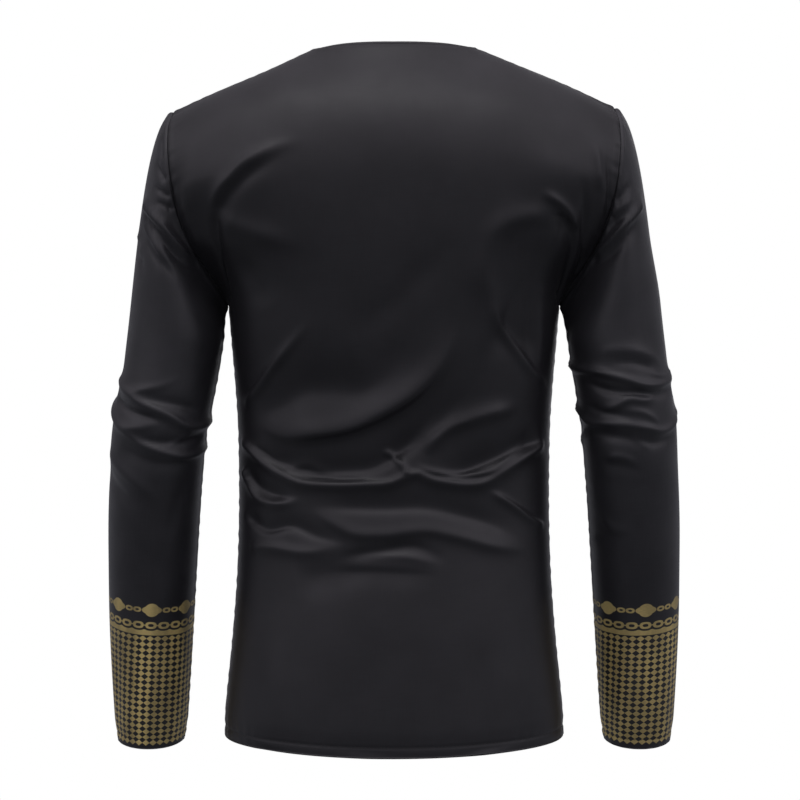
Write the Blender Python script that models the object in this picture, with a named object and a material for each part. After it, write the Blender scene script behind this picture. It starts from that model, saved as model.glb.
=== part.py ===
"""Long-sleeved dashiki shirt, worn shape with no wearer.

Frame: millimetres inside the functions, metres in the meshes. +Z is up, the
wearer faces -Y and the wearer's left is +X. The origin lies between the two
side-neck points, where the wearer's neck and shoulders hold the shirt up.

Every cloth piece is a wall lofted between sections. The outer points of all
the pieces come from one continuous surface, and the inner points lie one wall
thickness inside it, so that neighbours meet along their seams with an even gap.
"""

import math

import bmesh
import bpy
import numpy as np

# ---------------------------------------------------------------- sizes, mm
WALL = 1.6  # cloth wall
SEAM_GAP = 0.3  # space between two pieces along a seam
BUST = 264  # drop of the underarm point below the side neck
HEM = 702  # drop of the hem at the side seams
HEM_SAG = {"back": 9, "front": 7}  # further drop of the hem at the centre
BICEPS = 305  # drop where the sleeve cap has become a plain tube
CUFF = 712  # drop of the cuff edge
NECK_HALF = 80.5  # half width of the neck seam
NECK_SIDE = (4, -1.5)  # y and z of the neck seam at the side
NECK_BACK = (49, -2.5)  # y and z at the centre back
NECK_FRONT = (-64, -92)  # y and z at the centre front
SHOULDER = (224, 8, -66)  # shoulder point
BAND_HEIGHT = 5.0
BAND_WALL = 2.2
RIGHT_LIFT = 4.0  # the right shoulder sits a little higher than the left
LEFT_DIP = 2.0
RIGHT_ARM_OUT = 3.5  # the right upper sleeve stands a little further off
CHEST_SHARE = 0.6  # share of the armhole, from below, where the chest row ends

# Grid of each panel: columns over half a panel, rows above and below the bust
NECK_COLUMNS = 6
SHOULDER_COLUMNS = 10
ARMHOLE_ROWS = 10
CAP_ROWS = 8
NECK_PART = NECK_COLUMNS / (NECK_COLUMNS + SHOULDER_COLUMNS)

# Body sections below the underarm
BODY_COLUMNS = ("drop", "half", "back", "front", "square")
BODY = (
    (264, 168.0, 108, -119, 2.35),
    (300, 165.0, 104, -119, 2.35),
    (340, 161.5, 98, -115, 2.30),
    (385, 158.5, 92, -109, 2.25),
    (430, 157.5, 90, -104, 2.25),
    (480, 157.5, 93, -102, 2.25),
    (540, 159.5, 101, -104, 2.25),
    (600, 164.0, 110, -108, 2.25),
    (655, 169.5, 117, -111, 2.25),
    (702, 174.0, 121, -113, 2.25),
)

# Armhole seam, from the underarm point up to the shoulder point
ARMHOLE_COLUMNS = ("x", "y", "z")
ARMHOLE_BACK = (
    (168, 0, -264),
    (178, 13, -247),
    (192, 29, -226),
    (204, 43, -203),
    (215, 56, -175),
    (222, 64, -144),
    (226, 59, -112),
    (227, 40, -86),
    SHOULDER,
)
ARMHOLE_FRONT = (
    (168, 0, -264),
    (177, -13, -247),
    (187, -28, -226),
    (196, -42, -202),
    (203, -52, -174),
    (209, -56, -144),
    (216, -50, -113),
    (221, -30, -87),
    SHOULDER,
)

# How each panel rises from the bust to the shoulder: centre depth and height of
# its chest row, the power that rounds it off towards the armhole
CHEST_BACK = {"y": 113, "z": -138, "power": 2.6}
CHEST_FRONT = {"y": -108, "z": -170, "power": 2.3}

# Sleeve sections below the cap (wearer's left; the right one is its mirror image)
SLEEVE_COLUMNS = ("drop", "inner", "outer", "mid_y", "depth")
SLEEVE = (
    (305, 174.5, 272.5, 3, 61),
    (330, 178.5, 275.5, 4, 60),
    (360, 184.0, 281.5, 6, 58),
    (390, 190.5, 286.5, 5, 57),
    (436, 195.5, 290.0, -3, 54),
    (482, 199.5, 292.5, -13, 51),
    (528, 203.0, 293.5, -23, 48),
    (590, 207.5, 294.0, -36, 44),
    (650, 212.0, 292.5, -48, 41),
    (712, 217.0, 290.0, -61, 38),
)

# How the sleeve leaves the armhole: direction and reach by share of the armhole,
# and the reach with which it runs into the plain tube
CAP_COLUMNS = ("share", "out", "back", "down", "reach", "arrive")
CAP_BACK = (
    (0.0, 1.00, 0.00, 0.10, 8, 40),
    (0.3, 0.75, 0.28, 0.55, 50, 80),
    (0.6, 0.62, 0.00, 0.75, 75, 150),
    (0.85, 0.76, -0.10, 0.62, 80, 230),
    (1.0, 0.90, 0.00, 0.43, 95, 250),
)
CAP_FRONT = (
    (0.0, 1.00, 0.00, 0.10, 8, 40),
    (0.3, 0.75, -0.28, 0.55, 50, 80),
    (0.6, 0.66, 0.00, 0.72, 75, 150),
    (0.85, 0.78, 0.10, 0.60, 80, 230),
    (1.0, 0.90, 0.00, 0.43, 95, 250),
)

# Largest folds: path over the elevation (x, z), height (troughs below zero) and
# widths on the upper and the lower side. The wearer's right is at -x.
FOLD_COLUMNS = ("path", "height", "above", "below")
FOLDS_BACK = (
    # armpit creases
    (((118, -100), (165, -135), (172, -175), (166, -250)), -7, 16, 20),
    (((-172, -140), (-181, -180), (-176, -225), (-160, -262)), -6, 13, 16),
    # upper folds that fall to the small of the back
    (((90, -288), (120, -322), (146, -362)), 5, 13, 20),
    (((-102, -275), (-122, -312), (-152, -352)), 4, 13, 20),
    (((128, -386), (84, -378), (36, -360), (-12, -358), (-50, -322)), 5, 20, 16),
    (((-124, -370), (-96, -378), (-60, -396), (-34, -412)), 4, 16, 14),
    # the roll across the waist and the hollows on its two sides
    (((144, -402), (98, -440), (52, -441), (0, -436), (-50, -440), (-100, -432), (-146, -406)), 6, 12, 14),
    (((110, -408), (60, -405), (20, -430), (-34, -424), (-70, -402), (-130, -402)), -5, 14, 12),
    (((72, -455), (20, -450), (-44, -446), (-96, -460)), -5, 10, 14),
    (((76, -470), (30, -477), (-40, -475), (-90, -492), (-126, -496)), 5, 12, 16),
    (((70, -504), (14, -500), (-50, -498)), -4, 12, 16),
)
FOLDS_FRONT = (
    (((-120, -120), (-160, -170), (-160, -240)), -6, 16, 20),
    (((118, -125), (158, -172), (158, -242)), -6, 16, 20),
    (((-146, -392), (-96, -425), (-30, -436), (40, -430), (100, -416), (146, -388)), 5, 14, 16),
    (((-120, -440), (-60, -462), (10, -466), (80, -452)), -4, 14, 16),
    (((-100, -488), (-30, -500), (50, -494), (110, -472)), 4, 14, 18),
)

# Sleeve folds, over the unrolled sleeve: path of (turn, drop), where turn runs
# from 0 at the underarm seam over 0.25 at the back and 0.5 at the outside
FOLDS_LEFT = (
    (((0.13, -205), (0.26, -180), (0.36, -140)), 4, 14, 14),
    (((0.06, -352), (0.16, -378), (0.30, -386), (0.44, -352)), 6, 12, 16),
    (((0.08, -388), (0.22, -402), (0.36, -384), (0.50, -368)), -5, 10, 12),
    (((0.04, -410), (0.18, -428), (0.32, -418), (0.48, -392)), 6, 14, 16),
    (((0.10, -448), (0.24, -452), (0.40, -430)), 4, 14, 18),
    (((0.62, -360), (0.75, -388), (0.90, -366)), -7, 14, 14),
    (((0.64, -400), (0.76, -420), (0.90, -402)), 4, 14, 16),
)
FOLDS_RIGHT = (
    (((0.15, -210), (0.28, -185), (0.38, -160)), 4, 14, 14),
    (((0.06, -358), (0.22, -372), (0.38, -378), (0.50, -360)), 6, 12, 16),
    (((0.08, -386), (0.24, -392), (0.40, -396), (0.52, -380)), -6, 10, 12),
    (((0.05, -404), (0.20, -418), (0.36, -424), (0.50, -410)), 6, 12, 16),
    (((0.10, -440), (0.26, -446), (0.40, -455)), 4, 14, 18),
    (((0.62, -366), (0.75, -392), (0.90, -370)), -7, 14, 14),
    (((0.64, -405), (0.76, -424), (0.90, -408)), 4, 14, 16),
)


# ------------------------------------------------------------ smooth curves
def smooth(keys, values, at):
    """A smooth curve through rows of values, read at any keys."""
    keys = np.asarray(keys, float)
    values = np.asarray(values, float)
    step = np.diff(keys)
    shape = (-1,) + (1,) * (values.ndim - 1)
    rise = np.diff(values, axis=0) / step.reshape(shape)
    slope = np.empty_like(values)
    near, far = step[:-1].reshape(shape), step[1:].reshape(shape)
    slope[1:-1] = (rise[:-1] * far + rise[1:] * near) / (near + far)
    slope[0], slope[-1] = rise[0], rise[-1]
    at = np.asarray(at, float)
    i = np.clip(np.searchsorted(keys, at, side="right") - 1, 0, len(step) - 1)
    extra = (1,) * (values.ndim - 1)
    t = ((at - keys[i]) / step[i]).reshape(at.shape + extra)
    h = step[i].reshape(at.shape + extra)
    u = 1 - t
    return (
        u * u * (1 + 2 * t) * values[i]
        + t * t * (3 - 2 * t) * values[i + 1]
        + h * (t * u * u * slope[i] - t * t * u * slope[i + 1])
    )


def along(points, at):
    """Places at shares of the length of a smooth curve through points."""
    points = np.asarray(points, float)
    chord = np.linalg.norm(np.diff(points, axis=0), axis=1)
    keys = np.concatenate([[0], np.cumsum(chord)])
    return smooth(keys / keys[-1], points, at)


def blend(start, leave, end, arrive, t):
    """Hermite curve from start to end with the given end speeds."""
    u = 1 - t
    return (
        u * u * (1 + 2 * t) * start
        + t * t * (3 - 2 * t) * end
        + t * u * u * leave
        - t * t * u * arrive
    )


def ease(x):
    x = np.clip(x, 0, 1)
    return x * x * (3 - 2 * x)


def column(table, names, name):
    return [row[names.index(name)] for row in table]


# ------------------------------------------------------------- body surface
def body_row(drop, share, side):
    """Points of the closed body at a drop, for column shares 0 (centre) to 1 (side)."""
    read = {
        name: smooth(column(BODY, BODY_COLUMNS, "drop"), column(BODY, BODY_COLUMNS, name), drop)
        for name in BODY_COLUMNS[1:]
    }
    depth = read[side]
    turn = np.linspace(0, math.pi / 2, 97)
    power = 2 / read["square"]
    x = read["half"] * np.sin(turn) ** power
    y = depth * np.cos(turn).clip(0) ** power
    length = np.concatenate([[0], np.cumsum(np.hypot(np.diff(x), np.diff(y)))])
    share = np.asarray(share, float)
    spot = np.abs(share) * length[-1]
    out = np.empty(share.shape + (3,))
    out[..., 0] = np.interp(spot, length, x) * np.sign(share)
    out[..., 1] = np.interp(spot, length, y)
    sag = HEM_SAG[side] * np.cos(share * math.pi / 2) ** 1.5
    out[..., 2] = -drop - sag * ease((drop - 540) / (HEM - 540))
    return out


def neck_point(turn, side):
    """A point on the neck seam: turn 0 at the centre, 1 at the side neck."""
    end = NECK_BACK if side == "back" else NECK_FRONT
    angle = np.abs(turn) * math.pi / 2
    fall = np.cos(angle) ** (1.0 if side == "back" else 1.6)
    return np.stack(
        [
            np.sign(turn) * NECK_HALF * np.sin(angle),
            NECK_SIDE[0] + (end[0] - NECK_SIDE[0]) * np.cos(angle),
            NECK_SIDE[1] + (end[1] - NECK_SIDE[1]) * fall,
        ],
        -1,
    )


def top_row(share, side):
    """Neck seam and shoulder seam of a panel, with the way the cloth leaves them."""
    share = np.asarray(share, float)
    size, sign = np.abs(share), np.where(share < 0, -1.0, 1.0)
    neck = neck_point(np.clip(size / NECK_PART, 0, 1), side)
    k = np.clip((size - NECK_PART) / (1 - NECK_PART), 0, 1)[..., None]
    corner = neck_point(np.array(1.0), side)
    seam = corner + (np.array(SHOULDER, float) - corner) * k
    point = np.where((size <= NECK_PART)[..., None], neck, seam)
    way = 1 if side == "back" else -1
    middle = (0, 0.62, -0.78) if side == "back" else (0, -0.45, -0.89)
    keys = (0, 0.5 * NECK_PART, NECK_PART, NECK_PART + 0.22, 0.85, 1.0)
    rows = (
        middle,
        (0.42, 0.62 * way, -0.62),
        (0.58, 0.78 * way, -0.28),
        (0.14, 0.98 * way, -0.16),
        (0.02, 0.98 * way, -0.16),
        (0.0, 0.9 * way, -0.4),
    )
    leave = smooth(keys, rows, size)
    leave /= np.linalg.norm(leave, axis=-1, keepdims=True)
    mirror = np.stack([sign, np.ones_like(sign), np.ones_like(sign)], -1)
    return point * mirror, leave * mirror


def chest_row(share, side):
    """The row across the shoulder blades, or across the chest."""
    seam = ARMHOLE_BACK if side == "back" else ARMHOLE_FRONT
    form = CHEST_BACK if side == "back" else CHEST_FRONT
    edge = along(seam, np.array(CHEST_SHARE))
    t = np.linspace(0, 1, 97)
    x = edge[0] * t
    y = form["y"] + (edge[1] - form["y"]) * t ** form["power"]
    z = form["z"] + (edge[2] - form["z"]) * t**2
    steps = np.sqrt(np.diff(x) ** 2 + np.diff(y) ** 2 + np.diff(z) ** 2)
    length = np.concatenate([[0], np.cumsum(steps)])
    spot = np.abs(share) * length[-1]
    return np.stack(
        [np.interp(spot, length, x) * np.sign(share), np.interp(spot, length, y), np.interp(spot, length, z)],
        -1,
    )


def upper_rows(share, rise, side):
    """Rows from the bust (rise 0) to the shoulder and neck seams (rise 1)."""
    low = body_row(BUST, share, side)
    fall = (body_row(BUST + 2, share, side) - low) / 2
    mid = chest_row(share, side)
    top, leave = top_row(share, side)
    gap = np.linalg.norm(mid - top, axis=-1, keepdims=True)
    down = np.zeros_like(mid)
    down[..., 1] = 0.04 if side == "back" else 0.0
    down[..., 2] = -1
    lower = np.linalg.norm(mid - low, axis=-1, keepdims=True)
    rows = []
    for r in rise:
        if r <= CHEST_SHARE:
            t = r / CHEST_SHARE
            row = blend(low, -fall * lower * 1.05, mid, -down * lower * 1.05, t)
        else:
            t = (r - CHEST_SHARE) / (1 - CHEST_SHARE)
            row = blend(mid, -down * gap * 1.2, top, -leave * gap * 1.2, t)
        rows.append(row)
    grid = np.array(rows)
    # the ends of every row are drawn on to the armhole seam
    seam = along(ARMHOLE_BACK if side == "back" else ARMHOLE_FRONT, np.asarray(rise))
    for end, sign in ((0, -1), (-1, 1)):
        want = seam * (sign, 1, 1)
        move = (want - grid[:, end])[:, None, :]
        weight = np.where(np.sign(share) == sign, np.abs(share) ** 3, 0)
        grid = grid + move * weight[None, :, None]
    return grid


def body_panel(side, share, drops, rise):
    """Outer points of a panel, rows from the hem up."""
    lower = np.array([body_row(d, share, side) for d in drops])
    return np.concatenate([lower, upper_rows(share, rise, side)])


# ----------------------------------------------------------- sleeve surface
def sleeve_ring(drop, turn):
    """A ring of the sleeve's tube, square to the arm's axis."""
    keys = column(SLEEVE, SLEEVE_COLUMNS, "drop")
    read = {n: smooth(keys, column(SLEEVE, SLEEVE_COLUMNS, n), drop) for n in SLEEVE_COLUMNS[1:]}
    later = smooth(keys, column(SLEEVE, SLEEVE_COLUMNS, "mid_y"), drop + 4)
    lean = (later - read["mid_y"]) / 4
    half = (read["outer"] - read["inner"]) / 2
    angle = turn * 2 * math.pi
    x = read["inner"] + half - half * np.cos(angle)
    y = read["depth"] * np.sin(angle)
    return np.stack([x, read["mid_y"] + y, -drop + lean * y], -1)


def sleeve_grid(cap, drops, rise):
    """Outer points of the left sleeve: rings from the armhole down to the cuff."""
    count = len(rise) - 1
    back = along(ARMHOLE_BACK, np.asarray(rise))
    front = along(ARMHOLE_FRONT, np.asarray(rise))
    loop = np.concatenate([back, front[-2:0:-1]])
    turn = np.arange(2 * count) / (2 * count)
    share = np.concatenate([rise, rise[-2:0:-1]])
    keys = column(CAP_BACK, CAP_COLUMNS, "share")
    read = {}
    for name in CAP_COLUMNS[1:]:
        rear = smooth(keys, column(CAP_BACK, CAP_COLUMNS, name), share[: count + 1])
        fore = smooth(keys, column(CAP_FRONT, CAP_COLUMNS, name), share[count + 1 :])
        read[name] = np.concatenate([rear, fore])
    leave = np.stack([read["out"], read["back"], -read["down"]], -1)
    leave /= np.linalg.norm(leave, axis=1, keepdims=True)
    end = sleeve_ring(BICEPS, turn)
    later = sleeve_ring(BICEPS + 2, turn)
    way = (later - end) / np.linalg.norm(later - end, axis=1, keepdims=True)
    rings = [
        blend(loop, leave * read["reach"][:, None], end, way * read["arrive"][:, None], t)
        for t in cap
    ]
    rings += [sleeve_ring(d, turn) for d in drops]
    return np.array(rings)


def settled(points):
    """The two shoulders don't sit at quite the same height."""
    points = points.copy()
    x, z = points[..., 0], points[..., 2]
    high = ease((z + 190) / 110)
    right = RIGHT_LIFT * ease((-x - 60) / 130)
    left = LEFT_DIP * np.exp(-(((x - 120) / 55) ** 2))
    points[..., 2] += (right - left) * high
    return points


def stood_off(rings):
    """The right sleeve, with its upper part a little further from the body."""
    rings = rings * (-1, 1, 1)
    drop = -rings[..., 2]
    ring = ease(np.arange(rings.shape[0]) / 4)[:, None]
    rings[..., 0] -= RIGHT_ARM_OUT * ring * ease((drop - 190) / 70) * (1 - ease((drop - 330) / 90))
    return rings


# -------------------------------------------------------------------- folds
def fold_lift(flat, folds):
    """Signed height of all the folds at places of a flat elevation."""
    lift = np.zeros(len(flat))
    for row in folds:
        path, height, above, below = row
        way = along(path, np.linspace(0, 1, 33))
        step = np.diff(way, axis=0)
        near = np.full(len(flat), 1e9)
        side = np.zeros(len(flat))
        place = np.zeros(len(flat))
        for i in range(len(step)):
            rel = flat - way[i]
            t = np.clip((rel @ step[i]) / (step[i] @ step[i]), 0, 1)
            off = rel - t[:, None] * step[i]
            gap = np.hypot(off[:, 0], off[:, 1])
            closer = gap < near
            near = np.where(closer, gap, near)
            place = np.where(closer, (i + t) / len(step), place)
            # above the path is towards +z
            across = off[:, 1] * abs(step[i][0]) - off[:, 0] * step[i][1] * np.sign(step[i][0] or 1)
            side = np.where(closer, across, side)
        width = np.where(side > 0, above, below)
        taper = np.sin(np.pi * np.clip(0.06 + 0.88 * place, 0, 1)) ** 0.7
        lift += height * taper * np.exp(-((near / width) ** 2))
    return lift


# ------------------------------------------------------------ welded surface
class Surface:
    """All outer points in one welded mesh, so that seams share their normals."""

    def __init__(self):
        self.points = []
        self.keys = {}
        self.faces = {}

    def add(self, grid, closed, flip, group):
        """Adds a grid of points and returns their numbers in the same layout."""
        numbers = np.empty(grid.shape[:2], int)
        for place in np.ndindex(numbers.shape):
            key = tuple(np.round(grid[place], 3))
            if key not in self.keys:
                self.keys[key] = len(self.points)
                self.points.append(grid[place])
            numbers[place] = self.keys[key]
        wide = numbers.shape[1]
        for i in range(numbers.shape[0] - 1):
            for j in range(wide if closed else wide - 1):
                k = (j + 1) % wide
                a, b = numbers[i, j], numbers[i, k]
                c, d = numbers[i + 1, k], numbers[i + 1, j]
                face = (a, b, c, d)
                self.faces.setdefault(group, []).append(face[::-1] if flip else face)
        return numbers

    def normals(self):
        """Unit normals. Where body and sleeve meet, each counts for one half."""
        points = np.array(self.points)
        total = np.zeros_like(points)
        for faces in self.faces.values():
            faces = np.array(faces)
            corner = points[faces]
            normal = np.cross(corner[:, 2] - corner[:, 0], corner[:, 3] - corner[:, 1])
            own = np.zeros_like(points)
            for k in range(4):
                np.add.at(own, faces[:, k], normal)
            total += own / np.maximum(np.linalg.norm(own, axis=1, keepdims=True), 1e-9)
        return total / np.linalg.norm(total, axis=1, keepdims=True)


# ------------------------------------------------------------------- solids
def lay(mesh, outer, inner, numbers, closed, flip):
    """Faces of one wall: outer side, inner side and the edges between them."""
    rows, wide = outer.shape[:2]
    out = [[mesh.verts.new(p * 0.001) for p in row] for row in outer]
    inn = [[mesh.verts.new(p * 0.001) for p in row] for row in inner]
    span = wide if closed else wide - 1

    def face(*loop):
        mesh.faces.new(loop[::-1] if flip else loop)

    def rim(a, b):
        """The edge of the wall from a to b, cut the same way in both pieces of a seam."""
        (i, j), (k, m) = a, b
        if numbers[a] < numbers[b]:
            face(out[i][j], out[k][m], inn[k][m])
            face(out[i][j], inn[k][m], inn[i][j])
        else:
            face(out[i][j], out[k][m], inn[i][j])
            face(out[k][m], inn[k][m], inn[i][j])

    for i in range(rows - 1):
        for j in range(span):
            k = (j + 1) % wide
            # each cell has the same diagonal outside and inside
            face(out[i][j], out[i][k], out[i + 1][k])
            face(out[i][j], out[i + 1][k], out[i + 1][j])
            face(inn[i][k], inn[i][j], inn[i + 1][k])
            face(inn[i + 1][k], inn[i][j], inn[i + 1][j])
    for j in range(span):
        k = (j + 1) % wide
        rim((0, k), (0, j))
        rim((rows - 1, j), (rows - 1, k))
    if not closed:
        for i in range(rows - 1):
            rim((i, 0), (i + 1, 0))
            rim((i + 1, wide - 1), (i, wide - 1))


def cloth(name, outer, inner, numbers, closed, flip, colour):
    """One object with its own material."""
    mesh = bmesh.new()
    lay(mesh, outer, inner, numbers, closed, flip)
    data = bpy.data.meshes.new(name)
    mesh.to_mesh(data)
    mesh.free()
    data.shade_smooth()
    piece = bpy.data.objects.new(name, data)
    material = bpy.data.materials.new(name + "_cloth")
    material.use_nodes = True
    shader = material.node_tree.nodes["Principled BSDF"]
    shader.inputs["Base Color"].default_value = (*colour, 1)
    shader.inputs["Roughness"].default_value = 0.45
    shader.inputs["Metallic"].default_value = 0.0
    data.materials.append(material)
    shirt.objects.link(piece)
    return piece


def drawn_back(edge, inside, by, closed):
    """An edge moved square to itself, over the cloth, by a small distance."""
    if closed:
        tangent = np.roll(edge, -1, axis=0) - np.roll(edge, 1, axis=0)
    else:
        tangent = np.gradient(edge, axis=0)
    tangent /= np.linalg.norm(tangent, axis=1, keepdims=True)
    way = inside - edge
    way = way - tangent * np.sum(way * tangent, axis=1, keepdims=True)
    return by * way / np.linalg.norm(way, axis=1, keepdims=True)


def with_gaps(grid, closed, by):
    """The same grid with its seam edges drawn back by half the seam gap."""
    moved = grid.copy()
    moved[-1] += drawn_back(grid[-1], grid[-2], by, closed)
    if not closed:
        for end, inside in ((0, 1), (-1, -2)):
            moved[:, end] += drawn_back(grid[:, end], grid[:, inside], by, False)
    return moved


for old in list(bpy.data.objects):
    bpy.data.objects.remove(old, do_unlink=True)
shirt = bpy.data.collections.new("dashiki_shirt")
bpy.context.scene.collection.children.link(shirt)

half_share = np.concatenate(
    [
        np.linspace(0, NECK_PART, NECK_COLUMNS + 1),
        np.linspace(NECK_PART, 1, SHOULDER_COLUMNS + 1)[1:],
    ]
)
share = np.concatenate([-half_share[:0:-1], half_share])
rise = np.linspace(0, 1, ARMHOLE_ROWS + 1)
body_drops = np.concatenate(
    [
        np.linspace(HEM, 520, 8)[:-1],
        np.linspace(520, 340, 14)[:-1],
        np.linspace(340, BUST, 5)[:-1],
    ]
)
cap = np.linspace(0, 1, CAP_ROWS + 1)[:-1] ** 1.15
sleeve_drops = np.concatenate(
    [
        np.linspace(BICEPS, 345, 3)[:-1],
        np.linspace(345, 465, 10)[:-1],
        np.linspace(465, CUFF, 12),
    ]
)

surface = Surface()
back = body_panel("back", share, body_drops, rise)
front = body_panel("front", share, body_drops, rise)
left = sleeve_grid(cap, sleeve_drops, rise)
right = stood_off(left)
back, front, left, right = (settled(grid) for grid in (back, front, left, right))
numbers = {
    "back_panel": surface.add(back, False, True, "body"),
    "front_panel": surface.add(front, False, False, "body"),
    "sleeve_left": surface.add(left, True, False, "left arm"),
    "sleeve_right": surface.add(right, True, True, "right arm"),
}

neck_ring = slice(len(half_share) - 1 - NECK_COLUMNS, len(half_share) + NECK_COLUMNS)
loops = [
    numbers["sleeve_left"][0],
    numbers["sleeve_right"][0],
    np.concatenate(
        [numbers["back_panel"][-1][neck_ring][::-1], numbers["front_panel"][-1][neck_ring][1:-1]]
    ),
]


def evened(normals):
    """The same normals, evened out along the armhole and neck seams."""
    for loop in loops:
        own = normals[loop]
        own = np.roll(own, 1, axis=0) + 2 * own + np.roll(own, -1, axis=0)
        normals[loop] = own / np.linalg.norm(own, axis=1, keepdims=True)
    return normals


points = np.array(surface.points)
normals = evened(surface.normals())

# folds lift the points along the surface's normals
lift = np.zeros(len(points))
for name, folds in (("back_panel", FOLDS_BACK), ("front_panel", FOLDS_FRONT)):
    own = np.unique(numbers[name])
    lift[own] = fold_lift(points[own][:, [0, 2]], folds)
turns = np.arange(2 * ARMHOLE_ROWS) / (2 * ARMHOLE_ROWS)
for name, folds in (("sleeve_left", FOLDS_LEFT), ("sleeve_right", FOLDS_RIGHT)):
    grid = numbers[name]
    girth = 330.0
    flat = np.stack([np.tile(turns * girth, grid.shape[0]), points[grid.ravel()][:, 2]], -1)
    scaled = [
        (tuple((t * girth, z) for t, z in path), height, above, below)
        for path, height, above, below in folds
    ]
    # near the armhole the body's folds run on and the sleeve's own ones fade
    own = ease(np.arange(grid.shape[0]) / 4)[:, None]
    seam_lift = lift[grid[0]][None]
    lift[grid] = own * fold_lift(flat, scaled).reshape(grid.shape) + (1 - own) * seam_lift
points = points + normals * lift[:, None]
surface.points = list(points)
normals = evened(surface.normals())
inside = points - normals * WALL

BLACK = (0.016, 0.016, 0.017)
for name, grid in numbers.items():
    tube = name.startswith("sleeve")
    flip = name in ("back_panel", "sleeve_right")
    outer, inner = points[grid], inside[grid]
    if tube:
        # the first ring is the seam, so it is drawn back as a top edge
        outer, inner, grid = outer[::-1], inner[::-1], grid[::-1]
        flip = not flip
    outer = with_gaps(outer, tube, SEAM_GAP / 2)
    inner = with_gaps(inner, tube, SEAM_GAP / 2)
    cloth(name, outer, inner, grid, tube, flip, BLACK)

# The neck band continues the surface past the neck seam, up towards the neck
ring = loops[2]
seam, normal = points[ring], normals[ring]
tangent = np.roll(seam, -1, axis=0) - np.roll(seam, 1, axis=0)
up = np.cross(normal, tangent)
up /= np.linalg.norm(up, axis=1, keepdims=True)
up *= np.sign(np.sum(up * (np.array((0, -5, 20)) - seam)))
levels = np.array([SEAM_GAP, BAND_HEIGHT / 2, BAND_HEIGHT])
outer = seam[None] + up[None] * levels[:, None, None]
inner = outer - normal[None] * BAND_WALL
cloth("neck_band", outer, inner, np.stack([ring, ring, ring]), True, False, BLACK)
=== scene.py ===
"""Looks of the long-sleeved dashiki shirt: black satin cloth, seams, creases and the gold print.

Millimetres inside the functions, metres in the meshes. +Z is up, the wearer faces -Y and the
wearer's left is +X. The cloth repeats the form of the solids at a finer pitch, and the creases
are laid on it as soft ridges and troughs along short paths.
"""

import math

import bpy
import numpy as np
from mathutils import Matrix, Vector


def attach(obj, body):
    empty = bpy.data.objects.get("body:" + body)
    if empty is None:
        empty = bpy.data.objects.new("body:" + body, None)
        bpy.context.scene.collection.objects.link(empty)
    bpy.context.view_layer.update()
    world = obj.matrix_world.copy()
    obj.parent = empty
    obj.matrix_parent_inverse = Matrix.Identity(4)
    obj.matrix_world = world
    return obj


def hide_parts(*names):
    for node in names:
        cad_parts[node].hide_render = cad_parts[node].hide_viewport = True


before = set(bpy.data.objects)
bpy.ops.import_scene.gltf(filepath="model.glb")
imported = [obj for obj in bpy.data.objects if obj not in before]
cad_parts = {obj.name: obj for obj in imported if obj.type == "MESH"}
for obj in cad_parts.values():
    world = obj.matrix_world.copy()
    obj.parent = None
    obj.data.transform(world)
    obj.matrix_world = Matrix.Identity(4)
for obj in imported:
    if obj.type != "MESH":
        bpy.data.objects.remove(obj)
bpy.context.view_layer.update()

# ------------------------------------------------------- sizes of the shirt, mm
BUST = 264  # drop of the underarm point below the side neck
HEM = 702  # drop of the hem at the side seams
HEM_EASE = 2.5  # the hem is drawn up by this much where it is sewn
HEM_SAG = {"back": 9, "front": 7}  # further drop of the hem at the centre
SAG_FROM = 540  # drop at which that sag begins
BICEPS = 305  # drop where the sleeve cap has become a plain tube
CUFF = 712  # drop of the cuff edge
NECK_HALF = 80.5  # half width of the neck seam
NECK_SIDE = (4, -1.5)  # y and z of the neck seam at the side
NECK_CENTRE = {"back": (49, -2.5), "front": (-64, -92)}  # y and z at the centre
NECK_POWER = {"back": 1.0, "front": 1.6}  # above 1, it falls mostly near the centre
SHOULDER = (224, 8, -66)  # shoulder point
RIGHT_LIFT = 4.0  # the right shoulder sits a little higher than the left
LEFT_DIP = 2.0
RIGHT_ARM_OUT = 3.5  # the right upper sleeve stands a little further off
CHEST_SHARE = 0.6  # share of the armhole, from below, where the chest row ends
CHEST_PULL = (1.05, 1.2)  # how fully the cloth rounds below and above the chest row
EDGE_POWERS = (14, 3)  # how narrowly a row's ends follow the armhole, at the underarm and higher
EDGE_RISE = 0.35  # share of the armhole over which one passes into the other

CLOTH = 0.9  # thickness of the cloth
HEM_TURN = 10.0  # height of the turned hems, up to their stitching
HEM_CLOTH = 1.7  # thickness where the hem is turned up
HEM_TUCK = 1.8  # how far the hem draws in towards its edge
SEAM_GAP = 0.3  # space between two pieces along a seam, at the outside
SEAM_CLOSED = 0.02  # and at the inside, where no light comes through
SEAM_ROLL = (0.55, 4.0, 2.6)  # height of the roll beside a seam, its distance and width
SEAM_DIP = (-0.9, 1.5)  # depth and width of the seam's own dip
HEM_FULL = (0.35, 3.6)  # height and width of the fuller edge of a hem
HEM_GROOVE = (-0.55, 1.1)  # depth and width of the groove along its stitching
HEM_TUCK_OVER = 26  # height over which a hem draws in
PUCKER_REACH = 9  # how far a seam's puckers run into the cloth
LIP = 0.45  # how far the lip of a hem stands out, as a share of its thickness
BAND_SWELL = 0.3  # share by which the neck band is higher between the centre and the side neck
BAND_PROFILE = (  # distance out from the neck seam, distance up from it
    (0.0, SEAM_GAP),
    (0.25, 1.3),
    (0.3, 2.8),
    (0.2, 4.2),
    (-0.3, 5.0),
    (-1.1, 5.3),
    (-1.9, 5.0),
    (-2.2, 4.2),
    (-2.3, 2.5),
    (-2.2, SEAM_CLOSED),
    (-0.9, SEAM_CLOSED),
)
STITCH = {"start": 1.5, "long": 3.0, "space": 0.7, "thick": 0.42, "arch": 0.10, "sunk": 0.02}
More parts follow.
